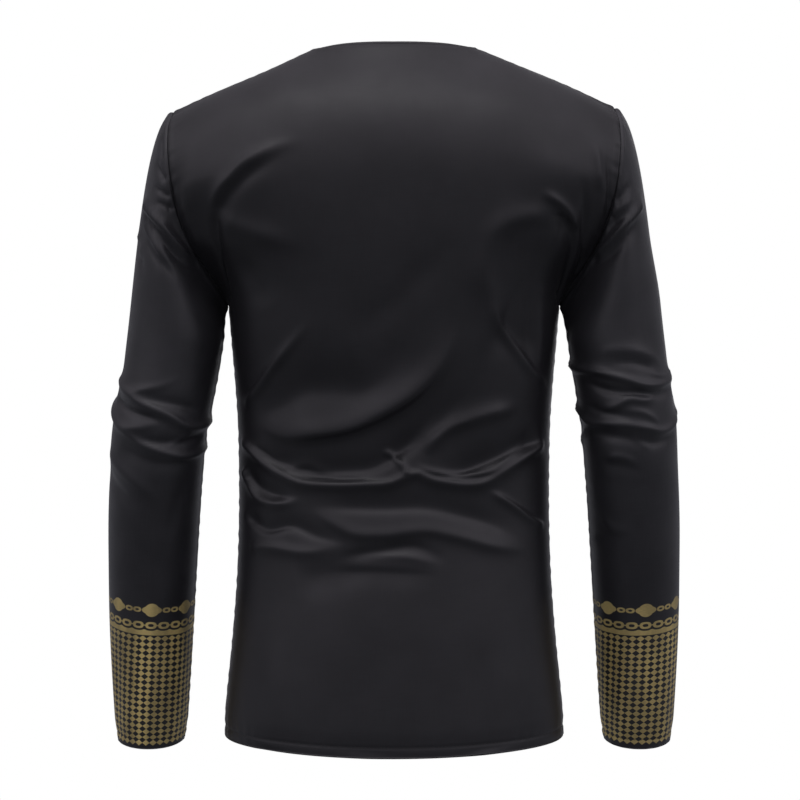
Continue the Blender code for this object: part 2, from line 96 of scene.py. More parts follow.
STITCH_RINGS = STITCH_SIDES = 6

# Body sections below the underarm
BODY_COLUMNS = ("drop", "half", "back", "front", "square")
BODY = (
    (264, 168.0, 108, -119, 2.35),
    (300, 165.0, 104, -119, 2.35),
    (340, 161.5, 98, -115, 2.30),
    (385, 158.5, 92, -109, 2.25),
    (430, 157.5, 90, -104, 2.25),
    (480, 157.5, 93, -102, 2.25),
    (540, 159.5, 101, -104, 2.25),
    (600, 164.0, 110, -108, 2.25),
    (655, 169.5, 117, -111, 2.25),
    (702, 174.0, 121, -113, 2.25),
)

# Armhole seam, from the underarm point up to the shoulder point
ARMHOLE = {
    "back": (
        (168, 0, -264),
        (178, 13, -247),
        (192, 29, -226),
        (204, 43, -203),
        (215, 56, -175),
        (222, 64, -144),
        (226, 59, -112),
        (227, 40, -86),
        SHOULDER,
    ),
    "front": (
        (168, 0, -264),
        (177, -13, -247),
        (187, -28, -226),
        (196, -42, -202),
        (203, -52, -174),
        (209, -56, -144),
        (216, -50, -113),
        (221, -30, -87),
        SHOULDER,
    ),
}
CHEST = {"back": {"y": 113, "z": -138, "power": 2.6}, "front": {"y": -108, "z": -170, "power": 2.3}}
CHEST_LEAN = {"back": 0.04, "front": 0.0}  # outward slope of the cloth there

# Sleeve sections below the cap (wearer's left; the right one is its mirror image)
SLEEVE_COLUMNS = ("drop", "inner", "outer", "mid_y", "depth")
SLEEVE = (
    (305, 174.5, 272.5, 3, 61),
    (330, 178.5, 275.5, 4, 60),
    (360, 184.0, 281.5, 6, 58),
    (390, 190.5, 286.5, 5, 57),
    (436, 195.5, 290.0, -3, 54),
    (482, 199.5, 292.5, -13, 51),
    (528, 203.0, 293.5, -23, 48),
    (590, 207.5, 294.0, -36, 44),
    (650, 212.0, 292.5, -48, 41),
    (712, 217.0, 290.0, -61, 38),
)

# How the sleeve leaves the armhole: direction and reach by share of the armhole,
# and the reach with which it runs into the plain tube
CAP_COLUMNS = ("share", "out", "back", "down", "reach", "arrive")
CAP = {
    "back": (
        (0.0, 1.00, 0.00, 0.10, 8, 40),
        (0.3, 0.75, 0.28, 0.55, 50, 80),
        (0.6, 0.62, 0.00, 0.75, 75, 150),
        (0.85, 0.76, -0.10, 0.62, 80, 230),
        (1.0, 0.90, 0.00, 0.43, 95, 250),
    ),
    "front": (
        (0.0, 1.00, 0.00, 0.10, 8, 40),
        (0.3, 0.75, -0.28, 0.55, 50, 80),
        (0.6, 0.66, 0.00, 0.72, 75, 150),
        (0.85, 0.78, 0.10, 0.60, 80, 230),
        (1.0, 0.90, 0.00, 0.43, 95, 250),
    ),
}

# ------------------------------------------------------------ grid of the cloth
NECK_COLUMNS = 28
SHOULDER_COLUMNS = 56
NECK_PART = 6 / 16  # share of half a panel's row that the neck takes
SEAM_CROWD = 1.35  # columns crowd towards the side seams
ARMHOLE_ROWS = 112
CAP_ROWS = 44
CAP_CROWD = 1.3  # rings crowd towards the armhole
BODY_ROWS = ((HEM - HEM_EASE, 11), (HEM - 17, 33), (560, 94), (380, 35))  # drop, rows from it
SLEEVE_ROWS = ((BICEPS, 9), (335, 63), (450, 67), (CUFF - 14, 11))
FINE = 385  # points of a curve that is then spaced out evenly
CREASE_POINTS = 41  # of the smooth line along a crease
CREASE_REACH = 3.5  # widths beyond which a crease lifts nothing
GIRTH = 330.0  # of the sleeve, for laying its creases
SEAM_REACH = 16  # how far from a seam the creases of two panels are brought together
LOOP_REACH = 9  # and those of a sleeve, below the armhole
PARTING = 30  # how far above the underarm the panels' common height fades out

# Evening of the cloth: how far from the seam it sets in, where it ends and over what, and passes
RELAX = {"start": 30, "end": 110, "over": 60, "passes": 60}
ROUND = {"start": 28, "end": 150, "over": 90, "passes": 70}
ROUND_TURNS = (0.17, 0.2, 0.1)  # share of a turn either side of the sleeve's top line, and its end
TOP_LINE = 0.10  # share of a turn over which the top line is held where it was

# Which way the cloth leaves the neck and shoulder seams. A share is that of half a row, and
# "away" is towards the panel's own side of the body.
LEAVE_COLUMNS = ("share", "out", "away", "up")
LEAVE_CENTRE = {"back": (0, 0, 0.62, -0.78), "front": (0, 0, 0.45, -0.89)}
LEAVE = (
    (0.5 * NECK_PART, 0.42, 0.62, -0.62),
    (NECK_PART, 0.58, 0.78, -0.28),
    (NECK_PART + 0.22, 0.14, 0.98, -0.16),
    (0.85, 0.02, 0.98, -0.16),
    (1.0, 0.0, 0.9, -0.4),
)

# --------------------------------------------------------------------- creases
# One row is one crease: its path, its height (troughs below zero), its widths on
# its two sides, and the shares of its length over which it fades in and out.
# "upper" is the upper side of a path that runs towards -x, and the -x side of
# one that runs down. Paths of the body are places (x, z) of the elevation.
FOLD_COLUMNS = ("path", "height", "upper", "lower", "fade_in", "fade_out")
FOLDS_BACK = (
    # left shoulder blade: the swell above the main crease, its rolled edge, the crease
    # under it and the line down to the armpit
    (((224, -160), (190, -147), (160, -135), (125, -122), (96, -112)), 4.8, 38, 60, 0.15, 0.50),
    (((178, -177), (174, -162), (168, -151), (158.5, -140.5), (147, -131), (131, -121.5), (111, -114),
      (90, -108)), 5.0, 10, 7.5, 0.25, 0.55),
    (((175, -178), (162, -157.5), (147, -143.5), (129, -130), (112, -121)), -3.6, 7, 12, 0.15, 0.50),
    (((176, -172), (176, -190), (174, -212), (170, -240), (166, -262)), -4.2, 8, 5, 0.15, 0.15),
    (((206, -140), (201, -185), (190, -215)), 3.0, 16, 20, 0.45, 0.30),
    # the fan of light from the end of that crease and the hollow below it
    (((172, -182), (150, -190), (120, -201), (86, -212)), 3.8, 16, 14, 0.20, 0.60),
    (((160, -222), (140, -240), (128, -270)), -2.6, 22, 24, 0.40, 0.40),
    # right shoulder blade: swell, bright rolled edge, crease under it, and the lines beside
    # the armhole
    (((-104, -122), (-150, -131), (-186, -141), (-224, -158)), 4.4, 38, 56, 0.45, 0.15),
    (((-144, -154), (-155, -162), (-166, -170), (-175, -181), (-179, -194)), 3.8, 7, 6, 0.35, 0.25),
    (((-150, -178), (-166, -180), (-176, -189), (-179, -204), (-176, -228), (-170, -250), (-165, -266)),
     -5.4, 4.5, 20, 0.25, 0.15),
    (((-186, -140), (-188, -165), (-188, -195), (-186, -225), (-179, -256)), -3.0, 6.5, 6.5, 0.30, 0.25),
    (((-211, -116), (-212.5, -150), (-210, -188)), -2.6, 2.8, 3.2, 0.40, 0.40),
    (((-200, -104), (-202, -156)), 2.4, 5, 8, 0.40, 0.40),
    (((-226, -90), (-225, -112), (-221, -142), (-215, -168)), 1.8, 2.6, 2.2, 0.20, 0.30),
    # the hollow below the right blade, with its soft edge
    (((-114, -294), (-97, -264), (-88, -234), (-91, -212), (-100, -193), (-112, -184), (-131, -179.5),
      (-150, -178.5), (-163, -179)), 4.8, 18, 15, 0.45, 0.20),
    (((-92, -286), (-118, -296), (-148, -298)), -7.0, 62, 34, 0.35, 0.30),
    (((-62, -200), (-30, -236), (14, -276), (48, -300)), -2.4, 26, 22, 0.50, 0.40),
    # tension lines from the small of the back to the sides
    (((151, -368), (137, -350), (122, -329), (106, -309), (84, -284)), 4.4, 7, 5, 0.20, 0.50),
    (((-92, -262), (-108, -288), (-124, -310), (-140, -332), (-153, -348)), 4.2, 5, 7, 0.40, 0.25),
    # the broad bright sweep above the waist, the hollow above it and the deep one below it
    (((132, -386), (112, -395), (76, -394), (44, -387), (10, -373), (-20, -352), (-46, -324), (-60, -290)),
     8.5, 26, 8, 0.32, 0.42),
    (((44, -387), (10, -373), (-20, -352), (-46, -324), (-62, -286)), 3.2, 20, 9, 0.50, 0.45),
    (((146, -376), (114, -362), (86, -351), (62, -351), (32, -349), (2, -328), (-22, -298)),
     -5.5, 32, 22, 0.22, 0.50),
    (((136, -408), (114, -423), (82, -429), (48, -430), (20, -426), (-2, -412), (-30, -384), (-48, -352)),
     -5.8, 18, 8.5, 0.20, 0.45),
    (((12, -424), (-6, -413), (-26, -400), (-50, -378), (-70, -350)), -4.6, 20, 12, 0.30, 0.50),
    (((112, -432), (98, -426), (86, -424), (74, -427), (58, -432)), 2.0, 9, 6, 0.40, 0.40),
    (((-32, -414), (-42, -400), (-54, -388), (-74, -379), (-98, -373), (-124, -366)), 5.5, 12, 8, 0.20, 0.30),
    (((-42, -434), (-64, -431), (-88, -425), (-116, -413), (-148, -399)), -6.4, 20, 5, 0.30, 0.20),
    # the double roll across the waist and its branch
    (((154, -400), (146, -407), (126, -424), (110, -434), (93, -441), (72, -443.5), (33, -442.5), (-3, -440),
      (-14, -434), (-24, -432), (-36, -437), (-53, -441.5), (-72, -442.5), (-89, -441), (-105, -432),
      (-128, -417), (-152, -401)), 4.8, 4.8, 9, 0.05, 0.05),
    (((96, -433), (76, -436), (50, -437), (18, -436)), -1.5, 2.2, 1.8, 0.35, 0.35),
    (((140, -405), (126, -415), (112, -426)), -1.5, 2.0, 1.8, 0.35, 0.35),
    (((-20, -423), (-34, -429), (-54, -433), (-80, -433), (-98, -429), (-118, -415), (-138, -402)),
     2.6, 4, 2.6, 0.20, 0.30),
    (((12, -409), (2, -415), (-8, -424), (-14, -433)), 4.2, 3.6, 4.2, 0.25, 0.10),
    (((80, -464), (15, -466), (-35, -467), (-68, -473), (-98, -483), (-124, -496)), -4.2, 18, 9, 0.25, 0.30),
    # the broad roll below the waist
    (((80, -468), (62, -480), (42, -491), (15, -493), (-35, -490), (-62, -494), (-98, -505), (-136, -511)),
     3.4, 12, 8, 0.20, 0.30),
    (((-92, -449), (-106, -457), (-121, -466), (-136, -477), (-152, -488)), 3.2, 3.6, 6, 0.25, 0.20),
    # the pocket of cloth at the left side
    (((152, -428), (144, -446), (136, -457), (122, -462.5), (108, -462.5), (92, -459)),
     3.8, 4.5, 8, 0.10, 0.35),
    (((150, -434), (134, -449), (118, -454.5), (98, -454.5)), -4.6, 14, 5, 0.15, 0.40),
    (((150, -474), (126, -489), (102, -486), (76, -494), (48, -500)), -3.8, 13, 5, 0.15, 0.40),
    (((146, -506), (120, -507), (86, -511), (50, -504)), 2.6, 7, 9, 0.15, 0.45),
    # the last shallow hollows
    (((60, -517), (40, -512), (15, -508), (-23, -505), (-54, -519)), -3.6, 8, 10, 0.35, 0.40),
    (((100, -538), (74, -533), (48, -530), (20, -530)), -3.4, 20, 28, 0.35, 0.45),
    (((36, -514), (-10, -514), (-47, -522)), 1.4, 5, 6, 0.45, 0.45),
    (((68, -529), (15, -530), (-23, -531), (-46, -534)), -2.4, 7, 18, 0.40, 0.40),
    # slack in the skirt
    (((112, -560), (120, -640), (132, -712)), 1.8, 26, 30, 0.60, 0.05),
    (((-70, -580), (-84, -650), (-92, -712)), -1.6, 30, 26, 0.60, 0.05),
    (((20, -570), (26, -650), (30, -712)), -1.2, 34, 34, 0.60, 0.05),
)
FOLDS_FRONT = (
    # creases from the armpits
    (((-176, -250), (-172, -205), (-158, -168), (-112, -122)), -7.0, 22, 9, 0.10, 0.50),
    (((-182, -214), (-172, -176), (-150, -150), (-104, -108)), 3.8, 10, 22, 0.30, 0.60),
    (((108, -122), (150, -164), (168, -204), (172, -250)), -6.5, 9, 22, 0.50, 0.10),
    (((96, -106), (146, -148), (176, -184), (180, -224)), 3.6, 22, 10, 0.60, 0.30),
    # drag lines down to the waist
    (((150, -300), (128, -340), (96, -372), (60, -392)), 3.0, 10, 9, 0.15, 0.60),
    (((-52, -388), (-92, -366), (-126, -334), (-152, -292)), 3.0, 8, 10, 0.60, 0.15),
    (((30, -300), (-6, -340), (-48, -368)), -2.2, 22, 20, 0.50, 0.50),
    # the roll across the waist
    (((152, -402), (126, -420), (92, -430), (44, -437), (0, -436), (-46, -441), (-92, -432), (-126, -418),
      (-152, -402)), 5.0, 6, 10, 0.05, 0.05),
    (((130, -408), (92, -420), (44, -427), (4, -424)), 2.2, 4.5, 4, 0.30, 0.40),
    (((-30, -430), (-70, -432), (-106, -420)), 2.2, 4, 4, 0.40, 0.40),
    (((120, -398), (70, -408), (10, -412), (-60, -416), (-118, -402)), -4.5, 14, 8, 0.25, 0.25),
    (((112, -444), (50, -452), (-20, -450), (-80, -456), (-130, -446)), -4.5, 9, 12, 0.25, 0.25),
    (((134, -458), (84, -476), (20, -482), (-44, -478), (-100, -486), (-140, -480)), 4.6, 14, 10, 0.20, 0.20),
    (((152, -486), (118, -496), (70, -502), (20, -500)), -3.2, 8, 8, 0.10, 0.45),
    (((-6, -508), (-56, -504), (-104, -512), (-146, -504)), -3.0, 8, 12, 0.45, 0.10),
    (((88, -520), (30, -524), (-24, -520)), 2.0, 7, 12, 0.45, 0.45),
    # slack in the skirt
    (((-104, -570), (-116, -640), (-124, -710)), 1.8, 28, 26, 0.60, 0.05),
    (((64, -580), (78, -650), (84, -710)), -1.8, 28, 30, 0.60, 0.05),
)

# Paths of the sleeves are places (turn, z), where turn runs from 0 at the underarm
# seam over 0.25 at the back and 0.5 at the outside to 0.75 at the front
FOLDS_LEFT = (
    # gathers at the armhole
    (((0.42, -92), (0.36, -122)), -2.2, 3.0, 3.4, 0.40, 0.15),
    (((0.40, -120), (0.31, -142)), -2.4, 2.6, 3.2, 0.40, 0.15),
    (((0.38, -145), (0.27, -158)), -2.4, 2.6, 3.2, 0.45, 0.15),
    (((0.36, -161), (0.30, -165), (0.24, -170)), -2.4, 2.4, 3.2, 0.45, 0.20),
    # drag lines across the upper arm
    (((0.44, -160), (0.38, -171), (0.30, -185), (0.24, -198), (0.13, -222)), 4.8, 7, 5.0, 0.12, 0.22),
    (((0.44, -170), (0.38, -181), (0.30, -196), (0.22, -213), (0.14, -231)), -4.2, 5.0, 9, 0.15, 0.30),
    (((0.44, -176), (0.39, -188), (0.31, -208), (0.22, -230)), 2.4, 6, 3.2, 0.20, 0.40),
    (((0.44, -184), (0.39, -196), (0.31, -217), (0.21, -238)), -2.6, 2.6, 6, 0.20, 0.40),
    (((0.48, -186), (0.44, -200), (0.37, -226)), 2.4, 4, 3, 0.25, 0.45),
    (((0.47, -192), (0.43, -206), (0.36, -234)), -2.4, 3, 5, 0.25, 0.45),
    # elbow, upper fork
    (((0.50, -334), (0.44, -343), (0.37, -351), (0.31, -350), (0.25, -346), (0.19, -337)),
     2.6, 6, 6, 0.15, 0.50),
    (((0.44, -344), (0.38, -352), (0.30, -364), (0.21, -376), (0.15, -385), (0.09, -387), (0.02, -381),
      (-0.06, -372)), 4.6, 6, 7, 0.25, 0.20),
    (((0.34, -356), (0.24, -362), (0.15, -368), (0.08, -374)), -3.2, 9, 5, 0.40, 0.30),
    (((0.46, -356), (0.36, -370), (0.27, -378), (0.20, -384)), -4.0, 5, 5, 0.20, 0.40),
    # elbow, lower fork, from the bulge at the outside
    (((0.60, -350), (0.54, -358), (0.49, -367), (0.44, -377), (0.37, -387), (0.30, -388), (0.22, -381)),
     4.2, 8, 6, 0.20, 0.45),
    (((0.44, -384), (0.36, -392), (0.29, -403), (0.21, -413), (0.16, -416), (0.10, -415), (0.02, -408),
      (-0.06, -398)), 3.4, 5, 5, 0.30, 0.20),
    (((0.36, -396), (0.25, -402), (0.15, -402), (0.04, -394)), -3.6, 7, 6, 0.35, 0.20),
    (((0.22, -409), (0.17, -402), (0.11, -394)), 1.4, 4, 4, 0.40, 0.40),
    (((0.38, -404), (0.26, -421), (0.12, -426)), -2.6, 6, 12, 0.30, 0.40),
    # long slack folds below the elbow
    (((0.48, -408), (0.42, -419), (0.34, -435), (0.27, -450), (0.21, -466)), 2.8, 11, 9, 0.25, 0.50),
    (((0.50, -424), (0.43, -440), (0.36, -454), (0.28, -474)), -2.4, 9, 10, 0.25, 0.50),
    (((0.10, -430), (0.16, -470), (0.20, -520)), -1.4, 14, 16, 0.40, 0.60),
    # inside of the elbow, at the front
    (((0.98, -372), (0.88, -366), (0.76, -380), (0.66, -366), (0.58, -352)), -6.5, 9, 10, 0.25, 0.25),
    (((0.96, -386), (0.86, -382), (0.76, -394), (0.66, -384), (0.58, -372)), 4.4, 8, 7, 0.25, 0.25),
    (((0.94, -400), (0.84, -400), (0.74, -410), (0.64, -404)), -4.0, 8, 8, 0.30, 0.30),
    (((0.92, -414), (0.80, -418), (0.68, -426), (0.60, -420)), 3.2, 8, 9, 0.30, 0.35),
    (((0.92, -352), (0.82, -346), (0.72, -352), (0.62, -340)), 3.4, 9, 8, 0.30, 0.35),
    (((0.90, -236), (0.80, -214), (0.68, -190), (0.58, -168)), 3.0, 7, 8, 0.30, 0.30),
    (((0.88, -250), (0.78, -228), (0.66, -206)), -2.6, 7, 8, 0.30, 0.40),
    (((0.84, -262), (0.76, -244), (0.68, -228)), 2.0, 7, 8, 0.40, 0.40),
    (((0.64, -438), (0.72, -470), (0.80, -512)), 2.0, 12, 14, 0.30, 0.60),
    # slack in the cuff
    (((0.12, -560), (0.13, -640), (0.14, -712)), 1.2, 12, 14, 0.60, 0.05),
    (((0.40, -580), (0.40, -650), (0.41, -712)), -1.2, 14, 12, 0.60, 0.05),
)
FOLDS_RIGHT = (
    # gathers at the armhole
    (((0.25, -164), (0.31, -152), (0.37, -142)), -2.2, 3.4, 4, 0.20, 0.50),
    (((0.22, -176), (0.29, -167), (0.36, -158)), 2.2, 4.0, 3.0, 0.20, 0.50),
    (((0.19, -190), (0.27, -178), (0.34, -168)), -2.4, 4.0, 7, 0.45, 0.45),
    # the long bright crease across the upper arm
    (((0.12, -219), (0.20, -203), (0.28, -187), (0.36, -172), (0.43, -157)), 5.0, 7.0, 4.4, 0.16, 0.20),
    (((0.13, -229), (0.22, -211), (0.30, -195), (0.38, -180)), -3.2, 5.0, 10, 0.35, 0.30),
    # elbow
    (((0.15, -317), (0.20, -312), (0.275, -311), (0.34, -316), (0.40, -323)), 2.4, 8, 5, 0.40, 0.30),
    (((0.19, -323), (0.28, -323), (0.36, -329)), -2.2, 5, 5, 0.40, 0.35),
    (((-0.06, -318), (0.04, -327), (0.16, -332), (0.24, -339), (0.30, -345), (0.36, -345), (0.44, -337),
      (0.50, -326)), 4.4, 5.5, 6, 0.20, 0.20),
    (((0.32, -333), (0.39, -336), (0.47, -328)), 1.8, 4, 3.5, 0.40, 0.20),
    (((0.08, -340), (0.17, -350), (0.27, -353), (0.36, -354), (0.45, -347)), -4.2, 6, 5, 0.30, 0.20),
    (((0.11, -372), (0.20, -366), (0.25, -359), (0.30, -360), (0.36, -352)), 3.0, 6, 5, 0.35, 0.30),
    (((0.22, -370), (0.29, -373), (0.35, -383)), 2.0, 4.5, 4.5, 0.40, 0.35),
    (((0.08, -366), (0.17, -373), (0.26, -378)), -2.6, 6, 4, 0.30, 0.40),
    (((-0.04, -360), (0.03, -372), (0.08, -381), (0.16, -383), (0.24, -385), (0.30, -388), (0.35, -391),
      (0.43, -382), (0.50, -368)), 4.0, 5, 6, 0.15, 0.20),
    (((0.08, -393), (0.20, -397), (0.32, -402), (0.43, -394)), -3.6, 7, 8, 0.30, 0.25),
    (((-0.04, -404), (0.01, -398), (0.06, -390), (0.12, -389)), 2.0, 5, 6, 0.20, 0.45),
    (((0.23, -396), (0.31, -409)), 1.6, 7, 5, 0.40, 0.40),
    (((0.14, -417), (0.21, -417), (0.26, -424)), 1.8, 5, 5, 0.40, 0.40),
    (((0.12, -424), (0.20, -426), (0.28, -432)), -1.4, 5, 10, 0.40, 0.40),
    (((0.10, -474), (0.16, -489), (0.24, -491)), 1.3, 6, 7, 0.40, 0.45),
    (((0.0, -503), (0.12, -500)), 1.2, 5, 6, 0.20, 0.50),
    # outer edge of the elbow
    (((0.47, -336), (0.53, -342)), 2.4, 6, 5, 0.40, 0.40),
    (((0.46, -349), (0.54, -351)), -3.0, 4, 4, 0.40, 0.40),
    (((0.46, -372), (0.54, -372)), 1.8, 9, 9, 0.40, 0.40),
    # inside of the elbow, at the front
    (((0.56, -356), (0.66, -372), (0.76, -384), (0.88, -368), (0.98, -360)), -6.5, 9, 10, 0.25, 0.25),
    (((0.56, -374), (0.66, -388), (0.76, -398), (0.88, -386), (0.97, -378)), 4.4, 8, 7, 0.25, 0.25),
    (((0.62, -406), (0.74, -414), (0.86, -402), (0.95, -396)), -3.8, 8, 8, 0.30, 0.30),
    (((0.60, -424), (0.70, -430), (0.82, -420)), 3.0, 8, 9, 0.30, 0.35),
    (((0.60, -344), (0.72, -356), (0.84, -348), (0.94, -340)), 3.4, 9, 8, 0.30, 0.35),
    (((0.58, -172), (0.70, -196), (0.82, -220), (0.90, -240)), 3.0, 7, 8, 0.30, 0.30),
    (((0.66, -212), (0.78, -234), (0.88, -254)), -2.6, 7, 8, 0.40, 0.30),
    (((0.78, -440), (0.70, -476), (0.64, -520)), 1.8, 12, 14, 0.30, 0.60),
    # slack in the cuff
    (((0.14, -560), (0.12, -640), (0.10, -712)), -1.6, 12, 12, 0.50, 0.05),
    (((0.38, -600), (0.37, -660), (0.36, -712)), 1.0, 12, 12, 0.60, 0.05),
)

# The gold print round each cuff, in mm of cloth. Heights are above the cuff edge.
PRINT = {
    "across": 7.95,  # from one gold diamond to the next
    "up": 6.3,  # from one row of diamonds to the next
    "first": 7.0,  # height of the lowest row
    "stripe": (124.0, 130.2),  # its lower and upper edge
    "links": (134.7, 13.73),  # height and pitch
    "discs": (151.0, 41.2),
    "rings": (15.9, 25.3),  # places of the two small rings after each disc
}
# How the print lies on each sleeve: its stretch round and up the sleeve, its shift off the
# middle of the back, how far its columns lean off the sleeve's own line, and how its rows tilt
PRINT_LAY = {
    "sleeve_left": {"round": 1.04, "up": 0.995, "shift": 4.5, "raise": 0.0, "lean": 0.13, "tilt": 0.06},
    "sleeve_right": {"round": 0.975, "up": 1.007, "shift": 117.7, "raise": -1.2, "lean": 0.025, "tilt": 0.03},
}


# ------------------------------------------------------------ smooth curves
def smooth(keys, values, at):
    """A smooth curve through rows of values, read at any keys."""
    keys = np.asarray(keys, float)
    values = np.asarray(values, float)
    step = np.diff(keys)
    shape = (-1,) + (1,) * (values.ndim - 1)
    rise = np.diff(values, axis=0) / step.reshape(shape)
    slope = np.empty_like(values)
    near, far = step[:-1].reshape(shape), step[1:].reshape(shape)
    slope[1:-1] = (rise[:-1] * far + rise[1:] * near) / (near + far)
    slope[0], slope[-1] = rise[0], rise[-1]
    at = np.asarray(at, float)
    i = np.clip(np.searchsorted(keys, at, side="right") - 1, 0, len(step) - 1)
    wide = at.shape + (1,) * (values.ndim - 1)
    t = ((at - keys[i]) / step[i]).reshape(wide)
    h = step[i].reshape(wide)
    return hermite(values[i], h * slope[i], values[i + 1], h * slope[i + 1], t)


def hermite(start, leave, end, arrive, t):
    """A curve from start to end with the given end speeds."""
    u = 1 - t
    return u * u * (1 + 2 * t) * start + t * t * (3 - 2 * t) * end + t * u * u * leave - t * t * u * arrive


def read(table, names, at):
    """Each column of a table by name, read smoothly at keys of the first one."""
    rows = np.array(table, float)
    return {name: smooth(rows[:, 0], rows[:, k + 1], at) for k, name in enumerate(names[1:])}


def lengths(points):
    """Length of a line of points from its start to each of them."""
    return np.concatenate([[0], np.cumsum(np.linalg.norm(np.diff(points, axis=0), axis=1))])


def along(points, at):
    """Places at shares of the length of a smooth curve through points."""
    points = np.asarray(points, float)
    keys = lengths(points)
    return smooth(keys / keys[-1], points, at)


def spaced(stretches, end):
    """Drops in even steps. Each stretch gives its start and its number of steps."""
    ends = [start for start, _ in stretches[1:]] + [end]
    pairs = zip(stretches, ends, strict=True)
    return np.concatenate([np.linspace(start, last, count + 1)[:-1] for (start, count), last in pairs])


def mirrored(share, x, *others):
    """Points at signed shares of the length of half a row, given as fine coordinates."""
    length = lengths(np.stack([x, *others], -1))
    spot = np.abs(share) * length[-1]
    return [np.interp(spot, length, x) * np.sign(share)] + [np.interp(spot, length, line) for line in others]


def ease(x):
    x = np.clip(x, 0, 1)
    return x * x * (3 - 2 * x)


def after(x, start, over):
    """0 up to a start, then smoothly up to 1 over a distance."""
    return ease((x - start) / over)


def bell(x):
    return np.exp(-(x**2))


def unit(vectors):
    return vectors / np.linalg.norm(vectors, axis=-1, keepdims=True)


def run_along(grid, axis):
    """Length of cloth from the first row (axis 0) or column (axis 1) of a grid of points."""
    step = np.linalg.norm(np.diff(grid, axis=axis), axis=2)
    start = np.zeros_like(np.take(grid[..., 0], [0], axis=axis))
    return np.concatenate([start, np.cumsum(step, axis=axis)], axis=axis)


# ------------------------------------------------------------- body surface
def body_row(drop, share, side):
    """Points of the closed body at a drop, for column shares 0 (centre) to 1 (side)."""
    size = read(BODY, BODY_COLUMNS, drop)
    angle = np.linspace(0, math.pi / 2, FINE)
    power = 2 / size["square"]
    half, deep = size["half"] * np.sin(angle) ** power, size[side] * np.cos(angle).clip(0) ** power
    x, y = mirrored(share, half, deep)
    sag = HEM_SAG[side] * np.cos(share * math.pi / 2) ** 1.5
    return np.stack([x, y, -drop - sag * after(drop, SAG_FROM, HEM - SAG_FROM)], -1)


def neck_point(place, side):
    """A point on the neck seam: place 0 at the centre, 1 at the side neck."""
    centre = NECK_CENTRE[side]
    angle = np.abs(place) * math.pi / 2
    y = NECK_SIDE[0] + (centre[0] - NECK_SIDE[0]) * np.cos(angle)
    z = NECK_SIDE[1] + (centre[1] - NECK_SIDE[1]) * np.cos(angle) ** NECK_POWER[side]
    return np.stack([NECK_HALF * np.sin(angle), y, z], -1)


def top_row(share, side):
    """Neck seam and shoulder seam of a panel, with the way the cloth leaves them."""
    size, sign = np.abs(share), np.where(share < 0, -1.0, 1.0)
    neck = neck_point(np.clip(size / NECK_PART, 0, 1), side)
    along_shoulder = np.clip((size - NECK_PART) / (1 - NECK_PART), 0, 1)[..., None]
    corner = neck_point(np.array(1.0), side)
    seam = corner + (np.array(SHOULDER, float) - corner) * along_shoulder
    point = np.where((size <= NECK_PART)[..., None], neck, seam)
    way = read((LEAVE_CENTRE[side], *LEAVE), LEAVE_COLUMNS, size)
    away = way["away"] if side == "back" else -way["away"]
    leave = unit(np.stack([way["out"], away, way["up"]], -1))
    mirror = np.stack([sign, np.ones_like(sign), np.ones_like(sign)], -1)
    return point * mirror, leave * mirror


def chest_row(share, side):
    """The row across the shoulder blades, or across the chest."""
    form = CHEST[side]
    edge = along(ARMHOLE[side], np.array(CHEST_SHARE))
    t = np.linspace(0, 1, FINE)
    y = form["y"] + (edge[1] - form["y"]) * t ** form["power"]
    z = form["z"] + (edge[2] - form["z"]) * t**2
    return np.stack(mirrored(share, edge[0] * t, y, z), -1)


def upper_rows(share, rise, side):
    """Rows from the bust (rise 0) to the shoulder and neck seams (rise 1)."""
    low = body_row(BUST, share, side)
    fall = (body_row(BUST + 2, share, side) - low) / 2
    mid = chest_row(share, side)
    top, leave = top_row(share, side)
    down = np.array((0, CHEST_LEAN[side], -1))
    below = np.linalg.norm(mid - low, axis=-1, keepdims=True) * CHEST_PULL[0]
    above = np.linalg.norm(mid - top, axis=-1, keepdims=True) * CHEST_PULL[1]
    rows = []
    for r in rise:
        if r <= CHEST_SHARE:
            rows.append(hermite(low, -fall * below, mid, -down * below, r / CHEST_SHARE))
        else:
            t = (r - CHEST_SHARE) / (1 - CHEST_SHARE)
            rows.append(hermite(mid, -down * above, top, -leave * above, t))
    grid = np.array(rows)
    # the ends of every row are drawn on to the armhole seam, near the underarm only its last part
    seam = along(ARMHOLE[side], rise)
    near, far = EDGE_POWERS
    power = far + (near - far) * (1 - ease(rise / EDGE_RISE))
    for end, sign in ((0, -1), (-1, 1)):
        move = (seam * (sign, 1, 1) - grid[:, end])[:, None, :]
        weight = np.where(np.sign(share) == sign, np.abs(share) ** power[:, None], 0)
        grid = grid + move * weight[..., None]
    return grid


def relaxed(grid):
    """The upper rows, evened sideways so that no crease hangs from the corners of the neck."""
    reach = np.linalg.norm(grid - grid[-1:], axis=-1)[:, 1:-1, None]
    weight = ease(reach / RELAX["start"]) * (1 - after(reach, RELAX["end"], RELAX["over"]))
    for _ in range(RELAX["passes"]):
        even = (grid[:, :-2] + 2 * grid[:, 1:-1] + grid[:, 2:]) / 4
        grid[:, 1:-1] += weight * (even - grid[:, 1:-1])
    return grid


def body_panel(side):
    """Outer points of a panel, rows from the hem up."""
    lower = np.array([body_row(drop, SHARES, side) for drop in BODY_DROPS])
    return relaxed(np.concatenate([lower, upper_rows(SHARES, RISES, side)]))


